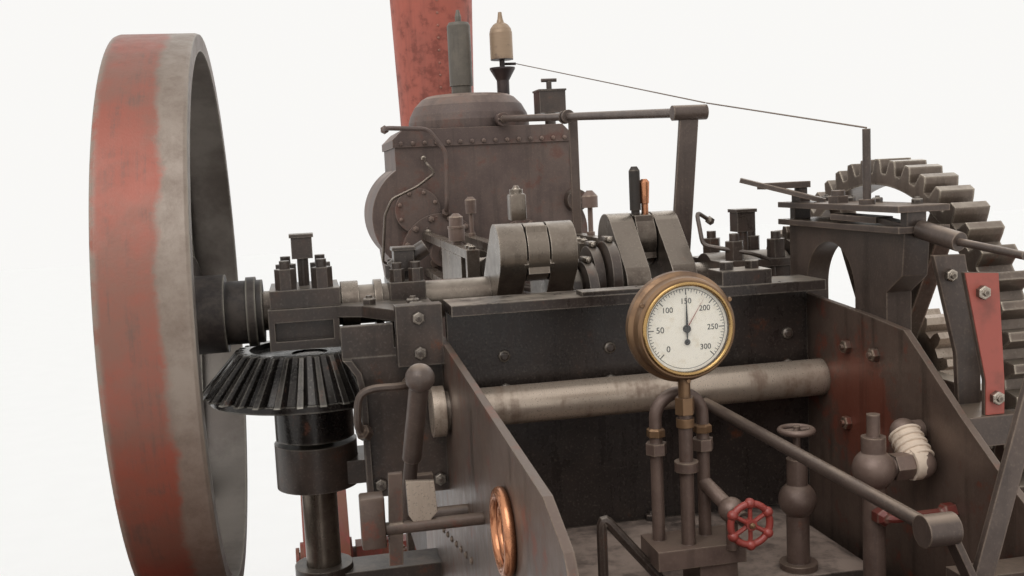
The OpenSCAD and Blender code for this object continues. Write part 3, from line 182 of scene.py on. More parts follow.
class Tree:
    """A node tree, with the few nodes that the finishes are made from."""

    def __init__(self, owner: bpy.types.Material | bpy.types.World, kind: str = "Material") -> None:
        """Empties the tree of a material or a world and adds its output.

        Args:
            owner: The material or the world.
            kind: Which of the two it is, as the output node's type says it.
        """
        owner.use_nodes = True
        self.nodes = owner.node_tree.nodes
        self.links = owner.node_tree.links
        self.nodes.clear()
        self.output = self.nodes.new("ShaderNodeOutput" + kind)

    def node(
        self, kind: str, settings: Sockets | None = None, inputs: Sockets | None = None,
        output: int | str = 0,
    ) -> Value:
        """Adds a node, sets it and links it.

        Args:
            kind: The end of the node's type, after ShaderNode.
            settings: Its properties, set before its sockets.
            inputs: Values, colours or wrapped sockets by socket number or name.
            output: The output wanted, by number or name.

        Returns:
            The wrapped output socket.
        """
        made = self.nodes.new("ShaderNode" + kind)
        for key, value in (settings or {}).items():
            setattr(made, key, value)
        for key, value in (inputs or {}).items():
            socket = made.inputs[key]
            if isinstance(value, Value):
                self.links.new(value.socket, socket)
            elif isinstance(value, tuple) and len(value) == 3 and socket.type == "RGBA":
                socket.default_value = (*value, 1.0)
            else:
                socket.default_value = value
        return Value(self, made.outputs[output])

    def vector(self, name: str, *terms: Value | Point, output: str = "Vector") -> Value:
        """Adds a Vector Math node over the given terms."""
        return self.node("VectorMath", {"operation": name}, dict(enumerate(terms)), output)

    def coordinates(self, scale: Point | None = None) -> Value:
        """Gives the object's own coordinates, stretched where a scale is given."""
        place = self.node("TexCoord", output="Object")
        return self.vector("MULTIPLY", place, scale) if scale else place

    def axis(self, vector: Value, name: str) -> Value:
        """Gives one part of a vector, by its letter."""
        return self.node("SeparateXYZ", inputs={0: vector}, output=name)

    def noise(self, place: Value, scale: float, detail: float, rough: float) -> Value:
        """Adds a noise round 0.5; scale counts its features in a metre and detail its finer layers."""
        sockets = {"Vector": place, "Scale": scale, "Detail": detail, "Roughness": rough}
        return self.node("TexNoise", {"noise_dimensions": "3D"}, sockets)

    def mix(self, share: Value | float, first: Value | Colour, second: Value | Colour) -> Value:
        """Mixes two colours; a share of 0 gives the first and 1 the second."""
        settings = {"data_type": "RGBA", "clamp_factor": True}
        return self.node("Mix", settings, {0: share, 6: first, 7: second}, 2)

    def blend(self, share: Value, first: float, second: float) -> Value:
        """Moves from one number to another with a mask."""
        return first + share * (second - first)

    def worn_edges(self, reach: float) -> Value:
        """Marks outer edges, where a ray going into the solid soon comes out of another face."""
        settings = {"samples": 4, "inside": True, "only_local": True}
        return self.node("AmbientOcclusion", settings, {"Distance": reach}, "AO").step(0.95, 0.5)

    def crevices(self, reach: float) -> Value:
        """Marks inner corners, seats and gaps between parts, to be darkened as painted shade."""
        return self.node("AmbientOcclusion", {"samples": 4}, {"Distance": reach}, "AO").step(0.85, 0.35)

    def bump(self, height: Value, depth: float, soften: float = 0.0) -> Value:
        """Adds a bump, over rounded edges where they are asked for.

        Args:
            height: The height map.
            depth: The height in metres that a value of 1 stands for.
            soften: Radius that the shading gives to edges, in metres.

        Returns:
            The normal.
        """
        sockets: Sockets = {"Strength": 1.0, "Distance": depth, "Height": height}
        if soften > 0:
            sockets["Normal"] = self.node("Bevel", {"samples": 4}, {"Radius": soften})
        return self.node("Bump", inputs=sockets)

    def end(self, kind: str, sockets: Sockets) -> None:
        """Ends the tree in a shader of the given kind."""
        self.links.new(self.node(kind, inputs=sockets).socket, self.output.inputs["Surface"])


# Finishes


@dataclass(frozen=True)
class Finish:
    """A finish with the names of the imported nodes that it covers.

    Its sockets are the surface's values by the shader's own names for them.
    """

    name: str
    nodes: str

    def sockets(self, tree: Tree) -> Sockets:
        """Mixes the finish; each kind has its own mix."""
        raise NotImplementedError

    def material(self) -> bpy.types.Material:
        """Builds the finish as a material.

        Returns:
            The material.
        """
        made = bpy.data.materials.new(self.name)
        tree = Tree(made)
        tree.end("BsdfPrincipled", self.sockets(tree))
        return made


@dataclass(frozen=True)
class Weathered(Finish):
    """Iron or painted plate with mottling, edges rubbed bare, rust, oily runs, painted shade in corners and
    tops paled partly by wear and partly by a painted highlight.
    """

    base: Card
    mottle: Card
    worn: Card
    rust: Card = (112, 62, 38)
    rust_share: float = 0.12
    edge_wear: float = 0.75
    # Paling of upward faces: partly wear and dust, partly a painted highlight of light falling from above.
    top_wear: float = 0.35
    # Strength and reach of the painted shade that darkens corners, seats and gaps between parts.
    grime: float = 0.6
    grime_reach: float = 0.05
    # Near-black for the oily runs, also used for the painted shade in corners.
    oil: Colour = (0.006, 0.005, 0.004)
    runs: float = 0.3
    rough: float = 0.5
    worn_rough: float = 0.36
    metal: float = 0.25
    worn_metal: float = 0.6
    grain: float = 170.0
    depth: float = 0.0009
    edge: float = 0.0035
    soften: float = 0.003
    rust_spot: Point | None = None
    spot_reach: float = 0.17

    def sockets(self, tree: Tree) -> Sockets:
        """Mixes the finish.

        Args:
            tree: The tree that takes the nodes.

        Returns:
            The shader's inputs by name.
        """
        # Pale bare-metal colour for rubbed edges and for upward faces, whose paling is partly wear and
        # partly a painted highlight.
        worn = paint(self.worn)
        place = tree.coordinates()
        broad = tree.noise(place, 2.6, 5.0, 0.65)
        patch = tree.noise(place, 15.0, 6.0, 0.7)
        fine = tree.noise(place, self.grain, 3.0, 0.6)
        streak = tree.noise(tree.coordinates((26.0, 26.0, 1.6)), 1.0, 4.0, 0.6)
        upward = tree.axis(tree.node("TexCoord", output="Normal"), "Z")

        mottled = (broad * 0.6 + patch * 0.4).step(0.4, 0.62)
        colour = tree.mix(mottled, paint(self.base), paint(self.mottle))
        low, high = 0.64 - self.rust_share * 0.6, 0.74 - self.rust_share * 0.5
        rusty = (patch * 0.7 + broad * 0.3).step(low, high)
        if self.rust_spot:
            away = tree.vector("DISTANCE", place, self.rust_spot, output="Value")
            rusty = rusty.larger((away / self.spot_reach + (patch - 0.5) * 2.2).step(1.05, 0.6))
        colour = tree.mix(rusty * 0.8, colour, paint(self.rust))
        # Painted highlight and wear: upward faces pale where light falls from above, as well as where they
        # are rubbed or dusty.
        top = upward.step(0.55, 0.95) * (patch * 0.5 + broad * 0.5).step(0.36, 0.58) * self.top_wear
        edge = tree.worn_edges(self.edge) * (patch + fine * 0.4).step(0.42, 0.74) * self.edge_wear
        # Rubbed edges joined with the paled tops, so this mask is partly wear and partly painted highlight.
        bare = edge.larger(top)
        colour = tree.mix(bare, colour, worn)
        wet = streak.step(0.5, 0.66) * (1 - abs(upward)) * self.runs
        # The oily runs and the painted shade of corners and seats both darken towards that near-black.
        dark = tree.mix(0.72, colour, self.oil)
        darkening = (wet + tree.crevices(self.grime_reach) * self.grime).smaller(1.0)
        colour = tree.mix(darkening, colour, dark)

        rough = tree.blend(bare, self.rough, self.worn_rough) + (patch - 0.5) * 0.3 - wet * 0.15
        height = patch * 0.5 + fine * 0.35 - rusty * fine * 0.5
        return {
            "Base Color": tree.mix(fine.step(0.52, 0.75) * 0.14, colour, worn),
            "Roughness": rough.larger(0.12),
            "Metallic": tree.blend(bare, self.metal, self.worn_metal),
            "Normal": tree.bump(height, self.depth, self.soften),
        }


class Axis(Enum):
    """The line that a turned piece lies along, as the scale that stretches its marks round it."""

    X = (1.0, 0.04, 0.04)
    Y = (0.04, 1.0, 0.04)
    Z = (0.04, 0.04, 1.0)


@dataclass(frozen=True)
class Turned(Finish):
    """Machined steel or brass with turning marks round its axis and brown oil stains."""

    base: Card
    stain: Card
    axis: Axis = Axis.X
    stain_share: float = 0.5
    # Near-black and reach of the painted shade that darkens corners and seats.
    oil: Colour = (0.004, 0.003, 0.003)
    grime_reach: float = 0.03
    rough: float = 0.28
    metal: float = 0.95
    marks: float = 420.0
    depth: float = 0.00018
    soften: float = 0.002
    dark_below: float = -1.0

    def sockets(self, tree: Tree) -> Sockets:
        """Mixes the finish.

        Args:
            tree: The tree that takes the nodes.

        Returns:
            The shader's inputs by name.
        """
        stain = paint(self.stain)
        place = tree.coordinates()
        along = tree.coordinates(self.axis.value)
        ring = tree.noise(along, self.marks, 3.0, 0.7)
        band = tree.noise(along, 24.0, 4.0, 0.6)
        patch = tree.noise(place, 14.0, 6.0, 0.68)
        fine = tree.noise(place, 260.0, 2.0, 0.5)
        low, high = 0.62 - self.stain_share * 0.22, 0.72 - self.stain_share * 0.14
        stained = (patch * 0.6 + band * 0.4).step(low, high)
        colour = tree.mix((ring - 0.35) * 0.5, paint(self.base), stain)
        colour = tree.mix(stained * 0.75, colour, stain)
        if self.dark_below > 0:
            below = tree.axis(place, "Z").step(self.dark_below + 0.006, self.dark_below)
            sooty = tree.mix(patch.step(0.4, 0.7), paint((52, 42, 42)), paint((74, 60, 56)))
            colour = tree.mix(below, colour, sooty)
        # Painted shade: occlusion darkens corners and seats towards an oily near-black.
        darkening = tree.crevices(self.grime_reach) * 0.7
        rough = self.rough + stained * 0.22 + (fine - 0.5) * 0.2
        return {
            "Base Color": tree.mix(darkening, colour, tree.mix(0.85, stain, self.oil)),
            "Roughness": rough.larger(0.08),
            "Metallic": tree.blend(stained, self.metal, self.metal * 0.55),
            "Normal": tree.bump(ring * 0.6 + fine * 0.4, self.depth, self.soften),
        }


@dataclass(frozen=True)
class Plain(Finish):
    """A small fitting's finish, such as enamel or ink, with faint dirt and grain."""

    base: Card
    dirt: Card
    rough: float = 0.4
    scale: float = 60.0
    depth: float = 0.0002

    def sockets(self, tree: Tree) -> Sockets:
        """Mixes the finish.

        Args:
            tree: The tree that takes the nodes.

        Returns:
            The shader's inputs by name.
        """
        place = tree.coordinates()
        patch = tree.noise(place, self.scale, 5.0, 0.65)
        fine = tree.noise(place, self.scale * 9, 2.0, 0.5)
        return {
            "Base Color": tree.mix(patch.step(0.5, 0.75) * 0.55, paint(self.base), paint(self.dirt)),
            "Roughness": (self.rough + (fine - 0.5) * 0.15).larger(0.05),
            "Normal": tree.bump(fine * 0.5 + patch * 0.5, self.depth),
        }


@dataclass(frozen=True)
class Glass(Finish):
    """Clear flat glass, let through by its alpha, with a little dust."""

    def sockets(self, tree: Tree) -> Sockets:
        """Mixes the finish.

        Args:
            tree: The tree that takes the nodes.

        Returns:
            The shader's inputs by name.
        """
        dust = tree.noise(tree.coordinates(), 90.0, 5.0, 0.7).step(0.5, 0.8)
        return {
            "Base Color": (0.9, 0.9, 0.86),
            "Roughness": 0.06 + dust * 0.2,
            "Alpha": 0.04 + dust * 0.06,
            "Specular IOR Level": 0.6,
        }


@dataclass(frozen=True)
class FloorPaint(Finish):
    """A pale, matt and nearly even grey for the floor."""

    def sockets(self, tree: Tree) -> Sockets:
        """Mixes the finish."""
        grain = tree.noise(tree.coordinates(), 3.0, 3.0, 0.5)
        return {"Base Color": tree.mix(grain, (0.9, 0.9, 0.89), (0.93, 0.93, 0.92)), "Roughness": 0.9}


@dataclass(frozen=True)
class FlywheelPaint(Finish):
    """Worn red paint on the tread, bare pale iron at its edges, near-black oily iron inside."""

    radius: float = 0.686
    outer_x: float = -1.158
    inner_x: float = -0.978
    rim_depth: float = 0.048
    # Near-black and reach of the painted shade that darkens corners and seats.
    oil: Colour = (0.008, 0.007, 0.006)
    grime_reach: float = 0.08
    edge: float = 0.006
    depth: float = 0.0011
    soften: float = 0.003

    def sockets(self, tree: Tree) -> Sockets:
        """Mixes the finish.

        Args:
            tree: The tree that takes the nodes.

        Returns:
            The shader's inputs by name.
        """
        place = tree.coordinates()
        flat = tree.vector("MULTIPLY", tree.vector("SUBTRACT", place, tuple(CRANK)), (0, 1, 1))
        radius = tree.vector("LENGTH", flat, output="Value")
        broad = tree.noise(place, 3.0, 6.0, 0.68)
        patch = tree.noise(place, 13.0, 7.0, 0.72)
        scratch = tree.noise(tree.coordinates((60.0, 3.0, 3.0)), 1.0, 5.0, 0.7)
        fine = tree.noise(place, 190.0, 3.0, 0.6)
        across = (tree.axis(place, "X") - self.outer_x) / (self.inner_x - self.outer_x)
        tread = radius.step(self.radius - 0.0035, self.radius - 0.002)
        rim_side = radius.step(self.radius - self.rim_depth, self.radius - self.rim_depth + 0.008)

        worn_band = (across + (broad - 0.5) * 0.5 + (patch - 0.5) * 0.25).step(0.62, 0.74)
        red = tree.mix(broad.step(0.4, 0.62), paint((152, 84, 68)), paint((134, 92, 78)))
        red = tree.mix((scratch * 0.5 + patch * 0.5).step(0.5, 0.66) * 0.6, red, paint((98, 84, 76)))
        bare = tree.mix(patch.step(0.35, 0.7), paint((146, 132, 120)), paint((124, 108, 96)))
        bare = tree.mix((patch + fine * 0.3).step(0.8, 0.98) * 0.5, bare, paint((84, 72, 64)))
        outside = tree.mix(worn_band, red, bare)
        outside = tree.mix(across.step(0.1, 0.02) * patch.step(0.35, 0.6), outside, bare)
        side = tree.mix(broad.step(0.4, 0.62), paint((138, 130, 122)), paint((108, 99, 92)))
        inside = tree.mix(patch.step(0.4, 0.65), paint((50, 44, 42)), paint((78, 70, 64)))
        colour = tree.mix(tread, tree.mix(rim_side, inside, side), outside)
        # Painted shade: occlusion darkens corners and seats towards near-black.
        colour = tree.mix(tree.crevices(self.grime_reach) * 0.7, colour, self.oil)
        edge = tree.worn_edges(self.edge) * patch.step(0.3, 0.55) * 0.7
        height = patch * 0.5 + fine * 0.3 + scratch * 0.2
        return {
            "Base Color": tree.mix(edge, colour, paint((172, 166, 152))),
            "Roughness": 0.42 + (patch - 0.5) * 0.5,
            "Metallic": tree.blend(tread, 0.35, 0.2),
            "Normal": tree.bump(height, self.depth, self.soften),
        }


FINISHES: tuple[Finish, ...] = (
    Weathered("boiler_black", "boiler_barrel", (54, 48, 45), (70, 61, 56), (112, 98, 88), runs=0.4),
    Weathered(
        "firebox_dusty", "firebox", (60, 52, 48), (78, 68, 62), (158, 140, 128), top_wear=1.0, metal=0.0,
        worn_metal=0.0, worn_rough=0.7,
    ),
    Weathered(
        "smokebox_black", "smokebox smokebox_door firehole_door", (44, 41, 40), (62, 54, 48), (104, 94, 84),
        rough=0.6,
    ),
    Weathered(
        "cast_dark",
        "perch_bracket drum_bracket drawbar lubricator valve_gear bearing_bracket steering_gear",
        (60, 51, 46), (82, 68, 60), (158, 148, 136), metal=0.1, top_wear=0.5, rough=0.36,
    ),
    # Bearing caps: tops paled strongly, partly wear and partly a painted highlight on their glossy tops.
    Weathered(
        "cast_pale_top", "crank_bearings", (60, 51, 46), (82, 68, 60), (158, 148, 136), metal=0.1,
        top_wear=0.8, rough=0.34,
    ),
    # Crossplate: its top paled fully, partly wear and partly a painted reflection of the sky on its glossy
    # top.
    Weathered(
        "plate_dark", "crossplate", (50, 43, 40), (64, 54, 49), (172, 160, 146), top_wear=1.0,
        rough=0.3,
    ),
    Weathered(
        "horn_brown", "hornplates", (104, 86, 76), (82, 68, 60), (140, 124, 108), rust=(124, 66, 50),
        rust_share=0.2, rough=0.4, runs=0.5, top_wear=0.3, rust_spot=(0.455, -1.2, 2.2),
    ),
    Weathered(
        "red_oxide", "chimney", (168, 88, 72), (152, 82, 68), (150, 112, 96), rust=(118, 56, 44),
        rust_share=0.25, metal=0.0, worn_metal=0.2, top_wear=0.0, rough=0.6, runs=0.25,
        grain=120.0,
    ),
    Weathered(
        "wheel_red", "rear_wheel_left rear_wheel_right front_wheel_left front_wheel_right front_axle",
        (132, 54, 42), (104, 44, 36), (138, 118, 100), rust_share=0.35, metal=0.0, worn_metal=0.4,
        # Stronger painted shade in its corners and seats.
        grime=0.8,
    ),
    Weathered(
        "tender_red", "tender", (112, 46, 38), (86, 38, 33), (120, 96, 84), rust_share=0.25, metal=0.0,
        worn_metal=0.3,
    ),
    Weathered(
        "cylinder_brown", "cylinder_block", (88, 73, 68), (106, 90, 82), (160, 138, 124),
        rust=(104, 70, 60), rust_share=0.2, top_wear=0.8, edge_wear=0.5, rough=0.6, metal=0.1,
    ),
    Weathered("grey_green", "safety_valve", (108, 100, 90), (92, 86, 78), (136, 130, 118), rust_share=0.0),
    Weathered(
        "oily_steel",
        "slide_bars crossheads low_pressure_rod high_pressure_rod crankshaft rear_axle vertical_shaft",
        (122, 111, 100), (84, 73, 65), (192, 180, 166), rust_share=0.05, metal=0.7, worn_metal=0.9,
        rough=0.32, worn_rough=0.22, top_wear=0.7,
    ),
    Weathered(
        "gear_iron", "spur_gear third_shaft axle_gear idler_gear winding_drum", (116, 102, 91),
        (88, 77, 69), (184, 172, 156), metal=0.45, worn_metal=0.8, rough=0.36,
        worn_rough=0.25, edge=0.006, edge_wear=1.0, top_wear=0.8,
    ),
    Weathered(
        "greased_iron", "bevel_gear", (36, 32, 30), (50, 44, 41), (150, 144, 134), metal=0.4,
        rough=0.22, worn_rough=0.2, edge=0.005, top_wear=0.6,
    ),
    Weathered(
        "chain_steel", "steering_chains", (78, 68, 60), (96, 66, 48), (140, 130, 118), rust_share=0.4,
        metal=0.5,
    ),
    Weathered(
        "fitting_tan", "backhead_fittings", (122, 102, 92), (96, 78, 70), (164, 146, 128), rust_share=0.1,
        metal=0.3, rough=0.45,
    ),
    Weathered(
        "lever_brown", "control_levers regulator_gear", (98, 84, 76), (80, 68, 62), (156, 138, 122),
        rust_share=0.05, metal=0.2, rough=0.4, top_wear=0.8,
    ),
    Weathered(
        "stand_brown", "gear_change_stand", (74, 63, 57), (92, 78, 70), (156, 138, 122), rust_share=0.05,
        metal=0.1, rough=0.4, top_wear=1.0,
    ),
    Turned(
        "bright_steel", "second_shaft", (184, 168, 152), (104, 80, 64), stain_share=0.6, metal=0.5,
        rough=0.3,
    ),
    Turned(
        "whistle_brass", "whistle", (160, 136, 112), (100, 82, 70), Axis.Z, metal=0.3, rough=0.45,
        dark_below=3.275,
    ),
    Turned(
        "gauge_brass", "pressure_gauge", (140, 110, 82), (88, 66, 52), Axis.Y, stain_share=0.7,
        metal=0.6, rough=0.36,
    ),
    Turned("copper", "", (206, 142, 104), (124, 80, 58), metal=0.8, rough=0.22),
    Turned("gold", "", (186, 152, 100), (116, 86, 62), Axis.Y, stain_share=0.9, rough=0.24),
    Plain("valve_red", "", (152, 66, 58), (104, 58, 50), 0.35),
    Plain("strap_red", "", (168, 88, 76), (112, 72, 62), 0.5, 14.0),
    Plain("lagging", "", (222, 202, 182), (160, 138, 116), 0.85, 40.0),
    Plain("enamel", "", (252, 245, 230), (226, 212, 184), 0.3),
    Plain("ink", "", (26, 24, 24), (44, 40, 38)),
    Glass("glass", ""),
    FlywheelPaint("flywheel_paint", "flywheel"),
)


class PaintShop:
    """Makes each finish's material once, when it is first asked for."""

    def __init__(self) -> None:
        """Sets out the finishes by name."""
        self.finishes = {finish.name: finish for finish in FINISHES}
        self.made: dict[str, bpy.types.Material] = {}

    def get(self, name: str) -> bpy.types.Material:
        """Gives a finish's material, built the first time.

        Args:
            name: The finish.

        Returns:
            The material.
        """
        if name not in self.made:
            self.made[name] = self.finishes[name].material()
        return self.made[name]

    def dress(self, nodes: dict[str, bpy.types.Object]) -> None:
        """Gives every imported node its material.

        Args:
            nodes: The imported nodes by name.
        """
        for finish in FINISHES:
            for name in finish.nodes.split():
                data = nodes[name].data
                data.materials.clear()
                data.materials.append(self.get(finish.name))


# Shapes


@dataclass
class Form:
    """A piece whose mesh is put together from plain solids, in the engine's frame."""

    name: str
    finish: str
    slot: str
    body: str
    mesh: bmesh.types.BMesh = field(default_factory=bmesh.new)

    def rod(
        self, start: Vector, end: Vector, radius: float, tip: float | None = None, sides: int = 24
    ) -> None:
        """Adds a cylinder or a cone.

        Args:
            start: Middle of its foot.
            end: Middle of its top.
            radius: Radius at the foot.
            tip: Radius at the top, where that is another one.
            sides: How many sides.
        """
        turn = Z.rotation_difference(end - start).to_matrix().to_4x4()
        bmesh.ops.create_cone(
            self.mesh, cap_ends=True, segments=sides, radius1=radius,
            radius2=radius if tip is None else tip, depth=(end - start).length,
            matrix=Matrix.Translation((start + end) / 2) @ turn,
        )

    def turned(
        self, foot: Vector, axis: Vector, steps: Iterable[tuple[float, ...]], sides: int = 24
    ) -> None:
        """Adds a stack of cylinders and cones.

        Args:
            foot: Middle of its foot.
            axis: The way up, one unit long.
            steps: A height and a radius each, and for a cone the radius at its top.
            sides: How many sides.
        """
        for height, low, *high in steps:
            self.rod(foot, foot + axis * height, low, high[0] if high else low, sides)
            foot = foot + axis * height

    def nuts(self, feet: Places, axis: Vector, radius: float) -> None:
        """Adds hexagon nuts, each with a chamfer and its stud's end.

        Args:
            feet: Where they sit.
            axis: The way they point.
            radius: Radius over the corners.
        """
        for foot in feet:
            self.turned(foot, axis, ((radius * 0.8, radius), (radius * 0.14, radius, radius * 0.84)), 6)
            self.rod(foot, foot + axis * radius * 1.3, radius * 0.52, radius * 0.44, 8)

    def rivets(self, feet: Places, axis: Vector, radius: float = RIVET_HEAD) -> None:
        """Adds domed rivet heads with few faces.

        Args:
            feet: Where they sit.
            axis: The way they point.
            radius: A head's radius.
        """
        for foot in feet:
            steps = ((radius * 0.3, radius, radius * 0.9), (radius * 0.35, radius * 0.9, radius * 0.45))
            self.turned(foot, axis, steps, 8)

    def ball(self, centre: Vector, radius: float, squash: Point = (1.0, 1.0, 1.0)) -> None:
        """Adds a ball, flattened by three factors."""
        shape = Matrix.Translation(centre) @ Matrix.Diagonal((*squash, 1.0))
        bmesh.ops.create_uvsphere(self.mesh, u_segments=20, v_segments=12, radius=radius, matrix=shape)

    def block(self, low: Vector, high: Vector, round_off: float = 0.0) -> None:
        """Adds a box between two corners.

        Args:
            low: The lowest corner.
            high: The highest corner.
            round_off: Radius of its edges.
        """
        shape = Matrix.Translation((low + high) / 2) @ Matrix.Diagonal((*(high - low), 1.0))
        made = bmesh.ops.create_cube(self.mesh, size=1.0, matrix=shape)
        if round_off > 0:
            edges = {edge for vertex in made["verts"] for edge in vertex.link_edges}
            bmesh.ops.bevel(
                self.mesh, geom=list(edges), offset=round_off, segments=2, affect="EDGES", profile=0.5,
                material=-1,
            )

    def ring(self, centre: Vector, axis: Vector, radius: float, thick: float, steps: int = 40) -> None:
        """Adds a round ring by spinning a circle round an axis.

        Args:
            centre: The ring's middle.
            axis: The line that it is spun round.
            radius: Radius to the middle of its section.
            thick: Radius of its section.
            steps: Segments round the ring.
        """
        out = axis.orthogonal().normalized()
        frame = Matrix((out, axis, out.cross(axis))).transposed().to_4x4()
        shape = Matrix.Translation(centre + out * radius) @ frame
        made = bmesh.ops.create_circle(self.mesh, segments=12, radius=thick, matrix=shape)
        edges = {edge for vertex in made["verts"] for edge in vertex.link_edges}
        bmesh.ops.spin(
            self.mesh, geom=[*made["verts"], *edges], cent=centre, axis=axis, angle=math.tau, steps=steps,
            use_merge=True,
        )

    def plate(self, points: Places, depth: Vector) -> None:
        """Adds a flat plate by extruding its outline.

        Args:
            points: The outline's corners, in order.
            depth: How far and which way it is thick.
        """
        face = self.mesh.faces.new([self.mesh.verts.new(point) for point in points])
        made = bmesh.ops.extrude_face_region(self.mesh, geom=[face], use_keep_orig=True)
        moved = [item for item in made["geom"] if isinstance(item, bmesh.types.BMVert)]
        bmesh.ops.translate(self.mesh, verts=moved, vec=depth)

    def pipe(self, points: Sequence[Vector], radius: float, sides: int = 12) -> None:
        """Adds a round pipe along a path whose corners are rounded.

        Args:
            points: Places along its middle.
            radius: Its radius.
            sides: Number of sides.
        """
        smooth = [points[0]]
        for before, here, after in zip(points, points[1:], points[2:]):
            start, end = (
                here + (other - here).normalized() * min(radius * 3, (other - here).length * 0.45)
                for other in (before, after)
            )
            for share in (0.0, 0.25, 0.5, 0.75, 1.0):
                smooth.append(start.lerp(here, share).lerp(here.lerp(end, share), share))
        smooth.append(points[-1])
        curve = bpy.data.curves.new(self.name + "_path", "CURVE")
        curve.dimensions = "3D"
        curve.bevel_depth = radius
        curve.bevel_resolution = sides // 4 - 1
        curve.use_fill_caps = True
        spline = curve.splines.new("POLY")
        spline.points.add(len(smooth) - 1)
        for knot, place in zip(spline.points, smooth):
            knot.co = (*place, 1.0)
        self._absorb(curve, Matrix.Identity(4))

    def figures(self, text: str, place: Matrix, size: float, depth: float) -> None:
        """Adds figures as a thin solid.

        Args:
            text: The figures.
            place: Where they stand and how they are turned.
            size: Their height.
            depth: Their thickness.
        """
        curve = bpy.data.curves.new(self.name + "_text", "FONT")
        curve.body = text
        curve.size = size
        curve.extrude = depth
        curve.resolution_u = 4
        curve.align_x = "CENTER"
        curve.align_y = "CENTER"
        self._absorb(curve, place)

    def _absorb(self, curve: bpy.types.Curve, place: Matrix) -> None:
        """Adds the solid of a curve or a text and clears the curve away.

        Args:
            curve: The curve or text.
            place: Where it stands and how it is turned.
        """
        source = add_object(curve.name, curve)
        bpy.context.view_layer.update()
        graph = bpy.context.evaluated_depsgraph_get()
        data = bpy.data.meshes.new_from_object(source.evaluated_get(graph), depsgraph=graph)
        data.transform(place)
        self.mesh.from_mesh(data)
        bpy.data.meshes.remove(data)
        bpy.data.objects.remove(source)
        bpy.data.curves.remove(curve)

    def finish_off(self, shop: PaintShop) -> None:
        """Turns the mesh into a finished piece that rides on its body.

        Args:
            shop: The shop that makes its finish.
        """
        bmesh.ops.recalc_face_normals(self.mesh, faces=self.mesh.faces)
        data = bpy.data.meshes.new(self.name)
        self.mesh.to_mesh(data)
        self.mesh.free()
        data.polygons.foreach_set("use_smooth", [True] * len(data.polygons))
        data.set_sharp_from_angle(angle=SHARP_ANGLE)
        data.materials.append(shop.get(self.finish))
        made = add_object(self.name, data)
        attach(made, self.body)
        LOG.info("%s: %d faces on %s", self.name, len(data.polygons), self.body)


# Sub-assemblies


@dataclass
class Stage:
    """The pale floor, the soft studio light and the camera."""

    place: Point = (-0.768, -3.34, 2.765)
    yaw: float = math.radians(11.2)
    pitch: float = math.radians(6.25)
    roll: float = math.radians(2.7)
    focal_px: float = 1040.0
    picture_px: float = 1024.0
    sensor: float = 36.0
    floor_half: float = 40.0
    dome_colour: Colour = (1.0, 0.99, 0.97)
    dome_strength: float = 0.62
    seen_strength: float = 0.95

    def camera(self) -> None:
        """Puts the camera behind the footplate, as the photograph was taken."""
        data = bpy.data.cameras.new("camera")
        data.sensor_width = self.sensor
        data.lens = self.focal_px / self.picture_px * self.sensor
        data.clip_start = 0.05
        data.clip_end = 200.0
        camera = add_object("camera", data)
        camera.matrix_world = Matrix.Translation(self.place)
        for angle, axis in ((-self.yaw, "Z"), (math.pi / 2 - self.pitch, "X"), (-self.roll, "Z")):
            camera.matrix_world @= Matrix.Rotation(angle, 4, axis)
        bpy.context.scene.camera = camera

    def floor(self) -> None:
        """Lays a plain pale floor that keeps the engine's shadow."""
        mesh = bmesh.new()
        bmesh.ops.create_grid(mesh, x_segments=1, y_segments=1, size=self.floor_half)
        data = bpy.data.meshes.new("floor")
        mesh.to_mesh(data)
        mesh.free()
        data.materials.append(FloorPaint("floor", "").material())
        floor = add_object("floor", data)

    def light(self) -> None:
        """Lights the engine from a white dome and two broad soft lamps overhead."""
        scene = bpy.context.scene
        scene.view_settings.view_transform = "Standard"
        scene.world = bpy.data.worlds.new("dome")
        tree = Tree(scene.world, "World")
        rays = ("Camera", "Glossy", "Transmission")
        camera, glossy, through = (tree.node("LightPath", output=f"Is {ray} Ray") for ray in rays)
        shown = camera.larger(glossy).larger(through)
        strength = tree.blend(shown, self.dome_strength, self.seen_strength)
        tree.end("Background", {"Color": self.dome_colour, "Strength": strength})
        for name, strength, angle, turn in (
            ("key", 1.35, 50.0, (38.0, -12.0, -20.0)),
            ("fill", 0.45, 70.0, (60.0, 0.0, 130.0)),
        ):
            lamp = bpy.data.lights.new(name, "SUN")
            lamp.energy = strength
            lamp.angle = math.radians(angle)
            add_object(name, lamp).rotation_euler = [math.radians(value) for value in turn]

    def build(self) -> None:
        """Sets up the camera, the floor and the light."""
        self.camera()
        self.floor()
        self.light()


@dataclass
class Assembly:
    """Pieces that belong together, shaped first and then finished off in turn."""

    shop: PaintShop
    forms: list[Form] = field(default_factory=list)

    def form(self, name: str, finish: str, slot: str = "", body: str = "engine") -> Form:
        """Starts a piece, whose slot has its finish's name where no other is given."""
        self.forms.append(Form(name, finish, slot or finish, body))
        return self.forms[-1]

    def shape(self) -> None:
        """Shapes the pieces; each assembly has its own."""
        raise NotImplementedError

    def build(self) -> None:
        """Shapes the pieces and finishes them off."""
        self.shape()
        for form in self.forms:
            form.finish_off(self.shop)


